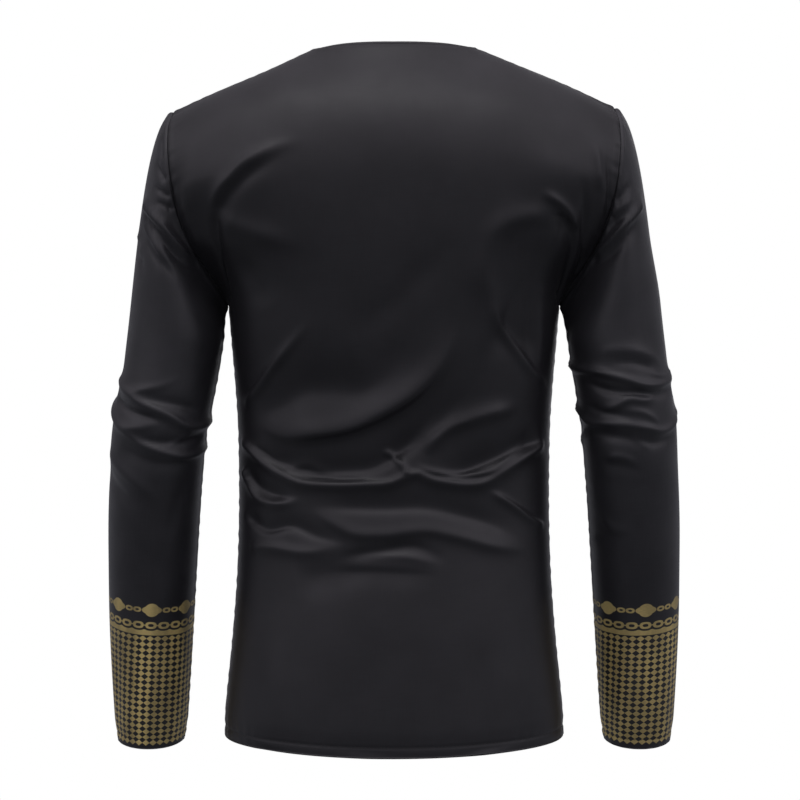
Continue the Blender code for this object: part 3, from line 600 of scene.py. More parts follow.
# ----------------------------------------------------------- sleeve surface
def sleeve_ring(drop, ahead=4):
    """A ring of the sleeve's tube, square to the arm's axis, as the axis runs a little ahead."""
    size = read(SLEEVE, SLEEVE_COLUMNS, drop)
    lean = (read(SLEEVE, SLEEVE_COLUMNS, drop + ahead)["mid_y"] - size["mid_y"]) / ahead
    half = (size["outer"] - size["inner"]) / 2
    angle = TURNS * 2 * math.pi
    y = size["depth"] * np.sin(angle)
    return np.stack([size["inner"] + half - half * np.cos(angle), size["mid_y"] + y, -drop + lean * y], -1)


def sleeve_grid():
    """Outer points of the left sleeve: rings from the armhole down to the cuff."""
    # the armhole runs up the back and down the front, and its two ends are the back's
    down = RISES[-2:0:-1]
    loop = np.concatenate([along(ARMHOLE["back"], RISES), along(ARMHOLE["front"], down)])
    rear, fore = read(CAP["back"], CAP_COLUMNS, RISES), read(CAP["front"], CAP_COLUMNS, down)
    size = {name: np.concatenate([rear[name], fore[name]])[:, None] for name in rear}
    leave = unit(np.concatenate([size["out"], size["back"], -size["down"]], 1))
    end = sleeve_ring(BICEPS)
    way = unit(sleeve_ring(BICEPS + 2) - end)
    cap = np.linspace(0, 1, CAP_ROWS + 1)[:-1] ** CAP_CROWD
    rings = [hermite(loop, leave * size["reach"], end, way * size["arrive"], t) for t in cap]
    return np.array(rings + [sleeve_ring(drop) for drop in SLEEVE_DROPS])


def rounded(rings):
    """The sleeve head, evened sideways so that no ridge runs down it from the shoulder point."""
    reach = run_along(rings, 0)[..., None]
    off_top = TURNS - 0.5
    wide, end, over = ROUND_TURNS
    near = (bell(off_top / wide) * (1 - after(np.abs(off_top), end, over)))[:, None]
    weight = ease(reach / ROUND["start"]) * (1 - after(reach, ROUND["end"], ROUND["over"])) * near
    evened = rings.copy()
    for _ in range(ROUND["passes"]):
        even = (np.roll(evened, 1, axis=1) + 2 * evened + np.roll(evened, -1, axis=1)) / 4
        evened += weight * (even - evened)
    # the top line itself stays where it was
    sunk = (rings - evened)[:, ARMHOLE_ROWS : ARMHOLE_ROWS + 1]
    return evened + sunk * bell(off_top / TOP_LINE)[:, None]


def settled(points):
    """The two shoulders don't sit at quite the same height."""
    points = points.copy()
    x, z = points[..., 0], points[..., 2]
    shift = RIGHT_LIFT * after(-x, 60, 130) - LEFT_DIP * bell((x - 120) / 55)
    points[..., 2] += shift * after(z, -190, 110)
    return points


def stood_off(rings):
    """The right sleeve, with its upper part a little further from the body."""
    reach, drop = run_along(rings, 0), -rings[..., 2]
    rings = rings * (-1, 1, 1)
    rings[..., 0] -= RIGHT_ARM_OUT * ease(reach / 45) * after(drop, 190, 70) * (1 - after(drop, 330, 90))
    return rings


# ------------------------------------------------------- measures on the cloth
def on_cloth(path, grid, flat):
    """A path over the elevation, as places on the flat cloth."""
    spots = []
    for x, z in path:
        gap = (grid[..., 0] - x) ** 2 + (grid[..., 2] - z) ** 2
        spots.append(flat[np.unravel_index(gap.argmin(), gap.shape)])
    return np.array(spots)


def faded(share, part):
    """How strong a crease is at a share of its length, if it fades in over a part of that."""
    return ease(share / max(part, 1e-3) + 0.1)


def crease_lift(flat, folds, wrap=None):
    """Signed height of all the creases at places of the flat cloth."""
    lift = np.zeros(flat.shape[:-1])
    for row in folds:
        crease = dict(zip(FOLD_COLUMNS, row, strict=True))
        upper, lower = crease["upper"], crease["lower"]
        way = along(crease["path"], np.linspace(0, 1, CREASE_POINTS))
        spots = flat
        if wrap:
            centre = way[:, 0].mean()
            spots = flat.copy()
            spots[..., 0] = (flat[..., 0] - centre + wrap / 2) % wrap - wrap / 2 + centre
        reach = CREASE_REACH * max(upper, lower)
        near = ((spots > way.min(0) - reach) & (spots < way.max(0) + reach)).all(-1)
        step = np.diff(way, axis=0)
        size = np.linalg.norm(step, axis=1)
        from_start = spots[near][:, None] - way[:-1]
        t = np.clip((from_start * step).sum(-1) / size**2, 0, 1)
        off = from_start - t[..., None] * step
        gap = np.linalg.norm(off, axis=-1)
        k = gap.argmin(1)
        each = np.arange(len(k))
        off, gap, t = off[each, k], gap[each, k], t[each, k]
        share = (k + t) / len(step)
        # 1 square to the path on its lower side, -1 on its upper side
        side = (step[k, 0] * off[:, 1] - step[k, 1] * off[:, 0]) / (size[k] * np.maximum(gap, 1e-6))
        width = (lower * (1 + side) + upper * (1 - side)) / 2
        fade = faded(share, crease["fade_in"]) * faded(1 - share, crease["fade_out"])
        lift[near] += crease["height"] * fade * (1 + (gap / width) ** 2) ** -2
    return lift


def seam_form(gap):
    """The soft roll beside a seam and the dip into it."""
    height, away, wide = SEAM_ROLL
    return height * bell((gap - away) / wide) + SEAM_DIP[0] * bell(gap / SEAM_DIP[1])


def puckers(run, gap, seed, height=0.32):
    """Small uneven waves that a seam's stitching draws into the cloth."""
    a, b = 0.37 + 0.013 * seed, 0.61 - 0.017 * seed
    wave = np.sin(a * run + seed) + 0.7 * np.sin(b * run + 2.3 * seed + np.sin(0.05 * run))
    return height * wave * np.exp(-gap / PUCKER_REACH) * ease(gap / 2.5 + 0.2)


def hem_form(height, run, seed, pucker):
    """The stitched groove above a turned hem, its puckers and the fuller edge below it."""
    edge = HEM_FULL[0] * bell((height - HEM_TURN / 2) / HEM_FULL[1])
    edge += HEM_GROOVE[0] * bell((height - HEM_TURN) / HEM_GROOVE[1])
    edge -= HEM_TUCK * ease((HEM_TUCK_OVER - height) / HEM_TUCK_OVER)
    return edge + puckers(run, np.abs(height - HEM_TURN), seed, pucker)


# ---------------------------------------------------------------------- meshes
def weld(grids):
    """Numbers for the points of several grids, the same where points meet."""
    flat = np.concatenate([grid.reshape(-1, 3) for grid in grids])
    _, first, numbers = np.unique(np.round(flat, 3) + 0.0, axis=0, return_index=True, return_inverse=True)
    parts = np.split(numbers.ravel(), np.cumsum([grid[..., 0].size for grid in grids])[:-1])
    return flat[first], [part.reshape(grid.shape[:2]) for part, grid in zip(parts, grids, strict=True)]


def closed_up(grid):
    """A grid with its first column again at the end."""
    return np.concatenate([grid, grid[:, :1]], axis=1)


def quads(values):
    """The values at the four corners of each cell of a grid."""
    corners = (values[:-1, :-1], values[:-1, 1:], values[1:, 1:], values[1:, :-1])
    return np.stack(corners, 2).reshape((-1, 4) + values.shape[2:])


def unit_normals(points, groups):
    """Unit normals. Where body and sleeve meet, each group of faces counts for one half."""
    total = np.zeros_like(points)
    for faces in groups:
        corner = points[faces]
        normal = np.cross(corner[:, 2] - corner[:, 0], corner[:, 3] - corner[:, 1])
        own = np.zeros_like(points)
        for k in range(4):
            np.add.at(own, faces[:, k], normal)
        total += own / np.maximum(np.linalg.norm(own, axis=1, keepdims=True), 1e-9)
    return unit(total)


def drawn_back(edge, inside, by, closed):
    """How an edge moves square to itself, over the cloth, by a small distance."""
    if closed:
        tangent = unit(np.roll(edge, -1, axis=0) - np.roll(edge, 1, axis=0))
    else:
        tangent = unit(np.gradient(edge, axis=0))
    way = inside - edge
    return by * unit(way - tangent * np.sum(way * tangent, axis=1, keepdims=True))


def with_gaps(grid, gap, closed):
    """The same grid with its seam edges drawn back by half the gap."""
    moved = grid.copy()
    moved[-1] += drawn_back(grid[-1], grid[-2], gap / 2, closed)
    if not closed:
        for end, inside in ((0, 1), (-1, -2)):
            moved[:, end] += drawn_back(grid[:, end], grid[:, inside], gap / 2, False)
    return moved


def strip(place, along_u, along_v):
    """Corners of a grid laid into one upright strip of the bake's square."""
    low, high = place
    u = low + (high - low) * along_u
    v = BAKE_EDGE + (1 - 2 * BAKE_EDGE) * along_v
    return np.stack(np.broadcast_arrays(u[None, :], v[:, None]), -1)


def add_object(name, points, faces, maps=None):
    """A smooth object from points in millimetres, with its maps of the faces' corners."""
    mesh = bpy.data.meshes.new(name)
    mesh.from_pydata((np.asarray(points) * 0.001).tolist(), [], faces)
    for layer, values in (maps or {}).items():
        mesh.uv_layers.new(name=layer).data.foreach_set("uv", values.astype(np.float32).ravel())
    mesh.shade_smooth()
    piece = bpy.data.objects.new(name, mesh)
    bpy.context.scene.collection.objects.link(piece)
    return piece


# Where each part of a shell lies in the bake's square, from and to, across it
BAKE = {
    "outside": (0.004, 0.74),
    "inside": (0.748, 0.968),
    "outer lip": (0.974, 0.978),
    "inner lip": (0.980, 0.984),
    "top": (0.986, 0.989),
    "first side": (0.991, 0.9935),
    "last side": (0.9955, 0.998),
}
BAKE_BAND = (0.01, 0.99)
BAKE_EDGE = 0.004  # left free below and above


def shell(name, outer, inner, measure):
    """A wall of cloth from its outer and inner points, with a rounded lip along row 0."""
    closed = name in SLEEVES
    rows, wide = outer.shape[:2]
    lip = (outer[0] + inner[0]) / 2 + LIP * HEM_CLOTH * unit(outer[0] - outer[1])
    number = np.arange((2 * rows + 1) * wide).reshape(-1, wide)
    if closed:
        number = closed_up(number)
    outside, inside, lips = number[:rows], number[rows:-1], number[-1]
    u_share = np.linspace(0, 1, number.shape[1])
    v_share = measure[..., 1].mean(1)
    v_share = (v_share - v_share[0]) / (v_share[-1] - v_share[0])

    def rim(place, first, second, line, share):
        places = strip(BAKE[place], np.array((0.0, 1.0)), share)
        return np.stack([first, second], 1), line[:, None].repeat(2, 1), places

    # each part has its point numbers, its measures on the cloth and its places in the bake
    parts = [
        (False, outside, measure, strip(BAKE["outside"], u_share, v_share)),
        (True, inside, measure, strip(BAKE["inside"], u_share, v_share)),
        (True, *rim("outer lip", outside[0], lips, measure[0], u_share)),
        (True, *rim("inner lip", lips, inside[0], measure[0], u_share)),
        (False, *rim("top", outside[-1], inside[-1], measure[-1], u_share)),
    ]
    if not closed:
        parts.append((True, *rim("first side", outside[:, 0], inside[:, 0], measure[:, 0], v_share)))
        parts.append((False, *rim("last side", outside[:, -1], inside[:, -1], measure[:, -1], v_share)))
    layers = []
    for back, *grids in parts:
        turned = -1 if back != (name in FLIPPED) else 1
        layers.append([quads(grid)[:, ::turned] for grid in grids])
    faces, cloth, bake = [np.concatenate(layer) for layer in zip(*layers, strict=True)]
    points = np.concatenate([outer.reshape(-1, 3), inner.reshape(-1, 3), lip])
    maps = {"Cloth": cloth * 0.001, "OFBake": bake}
    return add_object(name.replace("_panel", "") + "_cloth", points, faces.tolist(), maps)


# ------------------------------------------------------------ lay out the cloth
PANELS = ("back_panel", "front_panel")
SLEEVES = ("sleeve_left", "sleeve_right")
FLIPPED = ("back_panel", "sleeve_left")  # the cells of their grids run the other way round
FOLDS = dict(zip(PANELS + SLEEVES, (FOLDS_BACK, FOLDS_FRONT, FOLDS_LEFT, FOLDS_RIGHT), strict=True))

from_side = 1 - np.linspace(0, 1, SHOULDER_COLUMNS + 1)[1:]
near_neck = np.linspace(0, NECK_PART, NECK_COLUMNS + 1)
half_row = np.append(near_neck, 1 - (1 - NECK_PART) * from_side**SEAM_CROWD)
SHARES = np.concatenate([-half_row[:0:-1], half_row])
RISES = np.linspace(0, 1, ARMHOLE_ROWS + 1)
TURNS = np.concatenate([RISES / 2, 1 - RISES[-2:0:-1] / 2])
BODY_DROPS = spaced(BODY_ROWS, BUST)
SLEEVE_DROPS = np.append(spaced(SLEEVE_ROWS, CUFF), CUFF)
CENTRE = len(half_row) - 1  # the centre column of a panel
BACK_COLUMN = ARMHOLE_ROWS // 2  # the column along the middle of a sleeve's back
BUST_ROW = len(BODY_DROPS)

left = rounded(sleeve_grid())
# sleeves are kept with their rows from the cuff up, as the panels are from the hem up
grids = {
    "back_panel": settled(body_panel("back")),
    "front_panel": settled(body_panel("front")),
    "sleeve_left": settled(left)[::-1],
    "sleeve_right": settled(stood_off(left))[::-1],
}
points, numbered = weld(list(grids.values()))
numbers = dict(zip(grids, numbered, strict=True))


def cells(name):
    """The outer faces of a piece."""
    grid = numbers[name]
    faces = quads(closed_up(grid) if name in SLEEVES else grid)
    return faces[:, ::-1] if name in FLIPPED else faces


def measured(name):
    """How far each point lies along its row, from the middle one, and up its column."""
    grid, start = grids[name], CENTRE
    if name in SLEEVES:
        grid, start = closed_up(grid), ARMHOLE_ROWS
    across = run_along(grid, 1)
    return np.stack([across - across[:, start : start + 1], run_along(grid, 0)], -1)


groups = [np.concatenate([cells(name) for name in PANELS]), *[cells(name) for name in SLEEVES]]
normals = unit_normals(points, groups)
measures = {name: measured(name) for name in grids}

lifts, gaps = {}, {}
for name in PANELS:
    across, up = measures[name][..., 0], measures[name][..., 1]
    gaps[name] = {"right": across - across[:, :1], "left": across[:, -1:] - across, "top": up[-1:] - up}
    flat = np.stack([across, up - up[BUST_ROW]], -1)
    laid = [(on_cloth(path, grids[name], flat), *rest) for path, *rest in FOLDS[name]]
    lifts[name] = crease_lift(flat, laid)

# creases of the two panels agree along their seams, and fade into the common height
for side, end in (("right", 0), ("left", -1)):
    mean = (lifts["back_panel"][:, end] + lifts["front_panel"][:, end]) / 2
    for name in PANELS:
        up = measures[name][BUST_ROW:, end, 1]
        apart = mean - lifts[name][:, end]
        # above the underarm the two panels part, and the last height they share fades out
        apart[BUST_ROW:] = apart[BUST_ROW] * bell((up - up[0]) / PARTING)
        lifts[name] += apart[:, None] * bell(gaps[name][side] / SEAM_REACH)
for columns in (slice(0, SHOULDER_COLUMNS + 1), slice(-SHOULDER_COLUMNS - 1, None)):
    mean = (lifts["back_panel"][-1, columns] + lifts["front_panel"][-1, columns]) / 2
    for name in PANELS:
        apart = mean - lifts[name][-1, columns]
        lifts[name][:, columns] += apart * bell(gaps[name]["top"][:, columns] / SEAM_REACH)

for seed, name in enumerate(PANELS, 1):
    lift, gap = lifts[name], gaps[name]
    across, up = measures[name][..., 0], measures[name][..., 1]
    for more, side in enumerate(("right", "left")):
        lift += seam_form(gap[side]) + puckers(up, gap[side], seed + more)
    lift += seam_form(gap["top"]) + puckers(across, gap["top"], seed + 3, 0.15)
    lift += hem_form(up, across, seed + 5, 0.22)

for right, (name, end) in enumerate(zip(SLEEVES, (-1, 0), strict=True)):
    # the armhole loop runs up the back panel's edge and down the front panel's
    loop = np.append(lifts["back_panel"][BUST_ROW:, end], lifts["front_panel"][BUST_ROW:, end][-2:0:-1])
    drop = grids[name][..., 2]
    flat = np.stack([np.broadcast_to(TURNS * GIRTH, drop.shape), drop], -1)
    laid = []
    for path, height, upper, lower, *fades in FOLDS[name]:
        # turn runs towards +x on the left sleeve's back and towards -x on the right one's
        widths = (lower, upper) if right else (upper, lower)
        laid.append(([(turn * GIRTH, z) for turn, z in path], height, *widths, *fades))
    lift = crease_lift(flat, laid, GIRTH)
    across, up = measures[name][:, :-1, 0], measures[name][:, :-1, 1]
    gap = up[-1:] - up
    under = np.minimum(across - measures[name][:, :1, 0], measures[name][:, -1:, 0] - across)
    lift += seam_form(gap) + puckers(across, gap, 3 + right, 0.12)
    lift += hem_form(up, across, 6 + right, 0.2)
    lift += seam_form(under) + puckers(up, under, 4 + right)
    lifts[name] = lift + (loop - lift[-1]) * bell(gap / LOOP_REACH)

lift, count = np.zeros(len(points)), np.zeros(len(points))
for name, grid in numbers.items():
    np.add.at(lift, grid.ravel(), lifts[name].ravel())
    np.add.at(count, grid.ravel(), 1)
points = points + normals * (lift / count)[:, None]
normals = unit_normals(points, groups)


def laid_for_print(name):
    """The measures of a sleeve, turned and stretched as the print lies on it."""
    lay = PRINT_LAY[name]
    across, up = measures[name][..., 0], measures[name][..., 1]
    from_back = across - across[:, BACK_COLUMN : BACK_COLUMN + 1]
    tilted = lay["tilt"] * np.clip(from_back, -40, 40) * ease(up / 80)
    across = across * lay["round"] + lay["lean"] * up
    up = up * lay["up"] + lay["raise"] - tilted
    shift = lay["shift"] - np.interp(PRINT["discs"][0], up[:, BACK_COLUMN], across[:, BACK_COLUMN])
    return np.stack([across + shift, up], -1)


pieces, surfaces = {}, {}
for name, grid in numbers.items():
    closed = name in SLEEVES
    outer, normal = points[grid], normals[grid]
    up = measures[name][:, : grid.shape[1], 1]
    thick = CLOTH + (HEM_CLOTH - CLOTH) * ease((HEM_TURN + 0.6 - up) / 1.2)
    inner = with_gaps(outer - normal * thick[..., None], SEAM_CLOSED, closed)
    outer = with_gaps(outer, SEAM_GAP, closed)
    pieces[name] = shell(name, outer, inner, laid_for_print(name) if closed else measures[name])
    surfaces[name] = (outer, normal, up)


# ------------------------------------------------- the neck band and stitching
def neck_band():
    """A narrow bound edge that continues the cloth past the neck seam."""
    neck = slice(CENTRE - NECK_COLUMNS, CENTRE + NECK_COLUMNS + 1)
    ring = np.append(numbers["back_panel"][-1, neck][::-1], numbers["front_panel"][-1, neck][1:-1])
    seam, normal = points[ring], normals[ring]
    for _ in range(3):
        normal = unit(np.roll(normal, 1, axis=0) + 2 * normal + np.roll(normal, -1, axis=0))
    up = unit(np.cross(normal, np.roll(seam, -1, axis=0) - np.roll(seam, 1, axis=0)))
    up *= np.sign(np.sum(up * (np.array((0, -5, 20)) - seam)))
    place = np.linspace(-1, 1, 2 * NECK_COLUMNS + 1)
    place = np.append(place, place[1:-1])
    up *= (1 + BAND_SWELL * np.sin(math.pi * np.abs(place)))[:, None]
    profile = BAND_PROFILE + BAND_PROFILE[:1]
    rows = closed_up(np.array([seam + out * normal + high * up for out, high in profile]))
    measure = np.stack([run_along(rows, 1), run_along(rows, 0)], -1)
    share_round = measure[0, :, 0] / measure[0, -1, 0]
    share_over = measure[:, 0, 1] / measure[-1, 0, 1]
    places = strip(BAKE_BAND, share_over, share_round).transpose(1, 0, 2)
    number = np.arange(len(BAND_PROFILE) * len(ring)).reshape(-1, len(ring))
    number = closed_up(np.concatenate([number, number[:1]]))
    maps = {"Cloth": quads(measure * 0.001), "OFBake": quads(places)}
    return add_object("neck_band_cloth", rows[:-1, :-1].reshape(-1, 3), quads(number).tolist(), maps)


def stitch_line(name):
    """Stitches along a hem, half sunk in its groove."""
    outer, normal, up = surfaces[name]
    line, out = [], []
    for j in range(outer.shape[1]):
        i = int(np.searchsorted(up[:, j], HEM_TURN))
        t = (HEM_TURN - up[i - 1, j]) / (up[i, j] - up[i - 1, j])
        line.append(outer[i - 1, j] * (1 - t) + outer[i, j] * t)
        out.append(normal[i, j])
    if name in SLEEVES:
        line.append(line[0])
        out.append(out[0])
    line, out = np.array(line), np.array(out)
    run = lengths(line)
    pitch = STITCH["long"] + STITCH["space"]
    share = np.linspace(0, 1, STITCH_RINGS)
    fat = np.sin(math.pi * (0.12 + 0.76 * share)) * STITCH["thick"] / 2
    lie = STITCH["arch"] * np.sin(math.pi * share) - STITCH["sunk"]
    angle = np.arange(STITCH_SIDES)[:, None] * 2 * math.pi / STITCH_SIDES
    number = closed_up(np.arange(STITCH_RINGS * STITCH_SIDES).reshape(-1, STITCH_SIDES))
    stitch = quads(number).tolist() + [number[0, -2::-1].tolist(), number[-1, :-1].tolist()]
    verts, faces = [], []
    for k in range(int((run[-1] - 2) / pitch)):
        at = STITCH["start"] + k * pitch + share * STITCH["long"]
        spot = np.stack([np.interp(at, run, values) for values in line.T], -1)
        away = unit(np.stack([np.interp(at, run, values) for values in out.T], -1))
        spot = spot + away * lie[:, None]
        side = np.cross(unit(np.gradient(spot, axis=0)), away)
        faces += [[len(verts) + corner for corner in face] for face in stitch]
        around = np.cos(angle) * away[:, None] + np.sin(angle) * side[:, None]
        verts += list((spot[:, None] + fat[:, None, None] * around).reshape(-1, 3))
    return add_object(name.replace("_panel", "") + "_stitches", verts, faces)


pieces["neck_band"] = neck_band()
stitches = {name: stitch_line(name) for name in grids}

# ------------------------------------------------------------------- materials
class Result:
    """One output of a node. A sum of two of them adds the nodes that work it out."""

    def __init__(self, nodes, socket):
        self.nodes, self.socket = nodes, socket

    def __add__(self, other):
        return self.nodes.math("ADD", self, other)

    def __sub__(self, other):
        return self.nodes.math("SUBTRACT", self, other)

    def __rsub__(self, other):
        return self.nodes.math("SUBTRACT", other, self)

    def __mul__(self, other):
        return self.nodes.math("MULTIPLY", self, other)

    def __truediv__(self, other):
        return self.nodes.math("DIVIDE", self, other)

    def __pow__(self, other):
        return self.nodes.math("POWER", self, other)

    def __abs__(self):
        return self.nodes.math("ABSOLUTE", self)

    def span(self, low, high, to_low=0.0, to_high=1.0):
        """A value brought smoothly from one range to another."""
        row = dict(enumerate((self, low, high, to_low, to_high)))
        return self.nodes.value("MapRange", row, interpolation_type="SMOOTHSTEP")


class Nodes:
    """Short forms for the nodes of one material or world."""

    def __init__(self, owner):
        owner.use_nodes = True
        self.tree = owner.node_tree

    def put(self, value, socket):
        if isinstance(value, Result):
            self.tree.links.new(value.socket, socket)
        elif isinstance(value, tuple):
            socket.default_value = (*value, 1.0)
        else:
            socket.default_value = value

    def new(self, kind, inputs, **settings):
        node = self.tree.nodes.new("ShaderNode" + kind)
        for setting, value in settings.items():
            setattr(node, setting, value)
        for key, value in inputs.items():
            self.put(value, node.inputs[key])
        return node

    def value(self, kind, inputs, output=0, **settings):
        return Result(self, self.new(kind, inputs, **settings).outputs[output])

    def math(self, operation, *values):
        return self.value("Math", dict(enumerate(values)), operation=operation)

    def split(self, vector):
        """The x, y and z of a vector."""
        return [Result(self, part) for part in self.new("SeparateXYZ", {0: vector}).outputs]

    def mix(self, factor, first, second):
        return self.value("Mix", {0: factor, 6: first, 7: second}, 2, data_type="RGBA")


class Material(Nodes):
    """A material with one principled shader."""

    def __init__(self, name):
        self.material = bpy.data.materials.new(name)
        super().__init__(self.material)
        self.shader = self.tree.nodes["Principled BSDF"]

    def wear(self, **inputs):
        """Sets inputs of the shader, named with _ for each space."""
        for name, value in inputs.items():
            self.put(value, self.shader.inputs[name.replace("_", " ")])

    def worn(self, name):
        """What already runs into an input of the shader."""
        return Result(self, self.shader.inputs[name].links[0].from_socket)

    def bump(self, height, distance, strength, **normal):
        """A bump whose height is in millimetres."""
        inputs = {"Strength": strength, "Distance": distance * 0.001, "Height": height, **normal}
        return self.value("Bump", inputs)


class Cloth(Material):
    """A material laid out in millimetres on the flat cloth: u across it, v up it."""

    def __init__(self, name):
        super().__init__(name)
        places = self.split(self.value("UVMap", {}, uv_map="Cloth"))
        self.u, self.v = places[0] * 1000.0, places[1] * 1000.0

    def noise(self, across, up, layer=0.0, detail=2.0, roughness=0.5):
        """Noise with so many waves a millimetre each way."""
        spot = self.value("CombineXYZ", {0: self.u * across, 1: self.v * up, 2: layer})
        inputs = {"Scale": 1.0, "Detail": detail, "Roughness": roughness, "Vector": spot}
        return self.value("TexNoise", inputs, "Fac")


THREAD = 0.46  # mm from thread to thread
SATIN_DARK = (0.0158, 0.0157, 0.0175)
SATIN_LIGHT = (0.0243, 0.0239, 0.0264)
# Painted light: the sleeves are the same black satin as the body, painted lighter to stand in for more light
# falling on them
SLEEVE_DARK_PAINTED_LIGHTER = (0.0265, 0.0265, 0.0290)
SLEEVE_LIGHT_PAINTED_LIGHTER = (0.0405, 0.0405, 0.0440)


def weave(n):
    """Height of the satin's threads: long floats that lie along the grain, stepped sideways."""
    k = 2 * math.pi / THREAD
    warp = n.math("SINE", n.u * k)
    floats = n.math("SINE", n.u * (k * 0.4) + n.v * (k * 0.5))
    return warp * 0.5 + floats * 0.5


def satin(name, dark=SATIN_DARK, light=SATIN_LIGHT):
    """Black satin: fine floats, thicker threads here and there, and a soft uneven hand."""
    n = Cloth(name)
    streaks = (n.noise(1.9, 0.035) + n.noise(0.04, 1.7, 7.0)) * 0.5
    shade = n.noise(0.02, 0.02, detail=3.0) * 0.5 + streaks * 0.5
    soft = n.bump(n.noise(0.03, 0.026, 3.0, roughness=0.45), 1.0, 0.35)
    fine = n.bump(streaks, 0.10, 0.4, Normal=soft)
    n.wear(
        Base_Color=n.mix(shade.span(0.34, 0.66), dark, light),
        Roughness=shade.span(0.3, 0.7, 0.39, 0.32),
        Specular_IOR_Level=0.5,
        Sheen_Weight=0.05,
        Sheen_Roughness=0.3,
        Normal=n.bump(weave(n), 0.035, 0.5, Normal=fine),
    )
    return n


def oval(x, y, wide, high, power=2.0):
    """1 inside an oval, 0 outside, with a soft edge. A higher power squares it off."""
    return (abs(x / wide) ** power + abs(y / high) ** power).span(0.94, 1.06, 1.0, 0.0)


def repeat(value, pitch, start=0.0):
    """Distance from the middle of the nearest of evenly spaced motifs."""
    shifted = (value - start) / pitch + 0.5
    return (value.nodes.math("FRACT", shifted) - 0.5) * pitch


def between(value, low, high, soft=0.15):
    return value.span(low - soft, low + soft) * value.span(high - soft, high + soft, 1.0, 0.0)


# Half width, half height and power of each oval of the print, in mm
OVALS = {
    "round a link": (8.2, 5.8, 2.4),
    "link": (5.9, 3.7, 2.6),
    "in a link": (2.9, 1.6, 2.4),
    "disc": (7.7, 7.1),
    "ring": (4.5, 2.8, 2.3),
    "in a ring": (2.0, 1.1),
}
DISC_TIPS = (10.8, 6.0)  # half width and half height of the points of a disc
JOIN_HALF = 0.6  # of the line that joins two links


def gold_mask(n):
    """The border print: rows of diamonds, a stripe, a chain of links and a chain of discs."""
    x = abs(repeat(n.u, PRINT["across"]))
    y = abs(repeat(n.v, PRINT["up"], PRINT["first"]))
    low, high = PRINT["stripe"]
    diamonds = (x / PRINT["across"] + y / PRINT["up"]).span(0.49, 0.54, 1.0, 0.0)
    diamonds = diamonds * between(n.v, PRINT["first"] - PRINT["up"] / 2, low - 0.9)
    link_at, link_pitch = PRINT["links"]
    link = (repeat(n.u, link_pitch), n.v - link_at)
    stripe = between(n.v, low, high) * (1.0 - oval(*link, *OVALS["round a link"]))
    links = oval(*link, *OVALS["link"]) * (1.0 - oval(*link, *OVALS["in a link"]))
    joins = between(link[1], -JOIN_HALF, JOIN_HALF, 0.2) * abs(link[0]).span(5.2, 5.6)
    disc_at, disc_pitch = PRINT["discs"]
    disc_x, disc_y = repeat(n.u, disc_pitch), n.v - disc_at
    tips = abs(disc_x / DISC_TIPS[0]) + (disc_y / DISC_TIPS[1]) ** 2.0
    discs = n.math("MAXIMUM", tips.span(0.94, 1.04, 1.0, 0.0), oval(disc_x, disc_y, *OVALS["disc"]))
    mask = diamonds
    for part in (stripe, links, joins, discs):
        mask = n.math("MAXIMUM", mask, part)
    for place in PRINT["rings"]:
        ring = (repeat(n.u, disc_pitch, place), disc_y)
        rings = oval(*ring, *OVALS["ring"]) * (1.0 - oval(*ring, *OVALS["in a ring"]))
        mask = n.math("MAXIMUM", mask, rings)
    return mask


GOLD_DARK = (0.465, 0.370, 0.158)
GOLD_LIGHT = (1.000, 0.795, 0.314)
GOLD_METAL = 0.35
# Painted highlights: brighter streaks of sheen painted into the gold of the print. For each, how far
# from the middle of the back it lies at the cuff edge, how it leans, its half width and its strength
PAINTED_SHEEN_STREAKS = {
    "sleeve_left": ((5.0, 0.0, 7.0, 0.95), (-36.0, 0.05, 8.0, 0.5)),
    "sleeve_right": ((82.0, 0.0, 14.0, 0.35), (117.0, 0.0, 30.0, 0.15)),
}


def printed_satin(name, streaks):
    """The sleeve's satin with the gold print above its hem, thin foil that follows the threads, and painted
    highlights of sheen along the gold.
    """
    # painted light: the sleeve's satin takes the lighter sleeve colours
    n = satin(name, SLEEVE_DARK_PAINTED_LIGHTER, SLEEVE_LIGHT_PAINTED_LIGHTER)
    cover = gold_mask(n) * n.noise(0.9, 0.9, 11.0, 4.0, 0.6).span(0.24, 0.36, 0.5, 1.0)
    patchy, threads = n.noise(0.055, 0.016, 5.0, 3.0), n.noise(0.25, 2.2, 2.0)
    foil_tone_and_painted_sheen = (patchy * 0.65 + threads * 0.35).span(0.34, 0.66, 0.0, 0.6)
    # painted highlights: each streak lightens the gold along a line up the sleeve
    for place, lean, half, strength in streaks:
        away = n.u - (n.v * lean + place)
        foil_tone_and_painted_sheen = foil_tone_and_painted_sheen + abs(away).span(0.0, half * 2, strength, 0.0)
    gold = n.mix(n.math("MINIMUM", foil_tone_and_painted_sheen, 1.0), GOLD_DARK, GOLD_LIGHT)
    n.wear(
        Base_Color=n.mix(cover, n.worn("Base Color"), gold),
        Metallic=cover * GOLD_METAL,
        Roughness=cover.span(0.0, 1.0, n.worn("Roughness"), 0.42),
        Normal=n.bump(cover, 0.06, 0.6, Normal=n.worn("Normal")),
    )
    return n


def thread(name):
    """Black sewing thread with its twist."""
    n = Material(name)
    where = n.value("TexCoord", {}, "Object")
    twist = n.value("TexWave", {"Scale": 900.0, "Vector": where}, "Fac", bands_direction="DIAGONAL")
    n.wear(
        Base_Color=n.mix(twist, (0.012, 0.012, 0.012), (0.030, 0.029, 0.030)),
        Roughness=twist.span(0.0, 1.0, 0.5, 0.36),
        Normal=n.bump(twist, 0.05, 0.6),
    )
    return n


body_satin = satin("body_satin").material
band_satin = satin("band_satin").material
left_satin = printed_satin("left_sleeve_satin", PAINTED_SHEEN_STREAKS["sleeve_left"]).material
right_satin = printed_satin("right_sleeve_satin", PAINTED_SHEEN_STREAKS["sleeve_right"]).material
black_thread = thread("black_thread").material

SATINS = {"neck_band": band_satin, "sleeve_left": left_satin, "sleeve_right": right_satin}
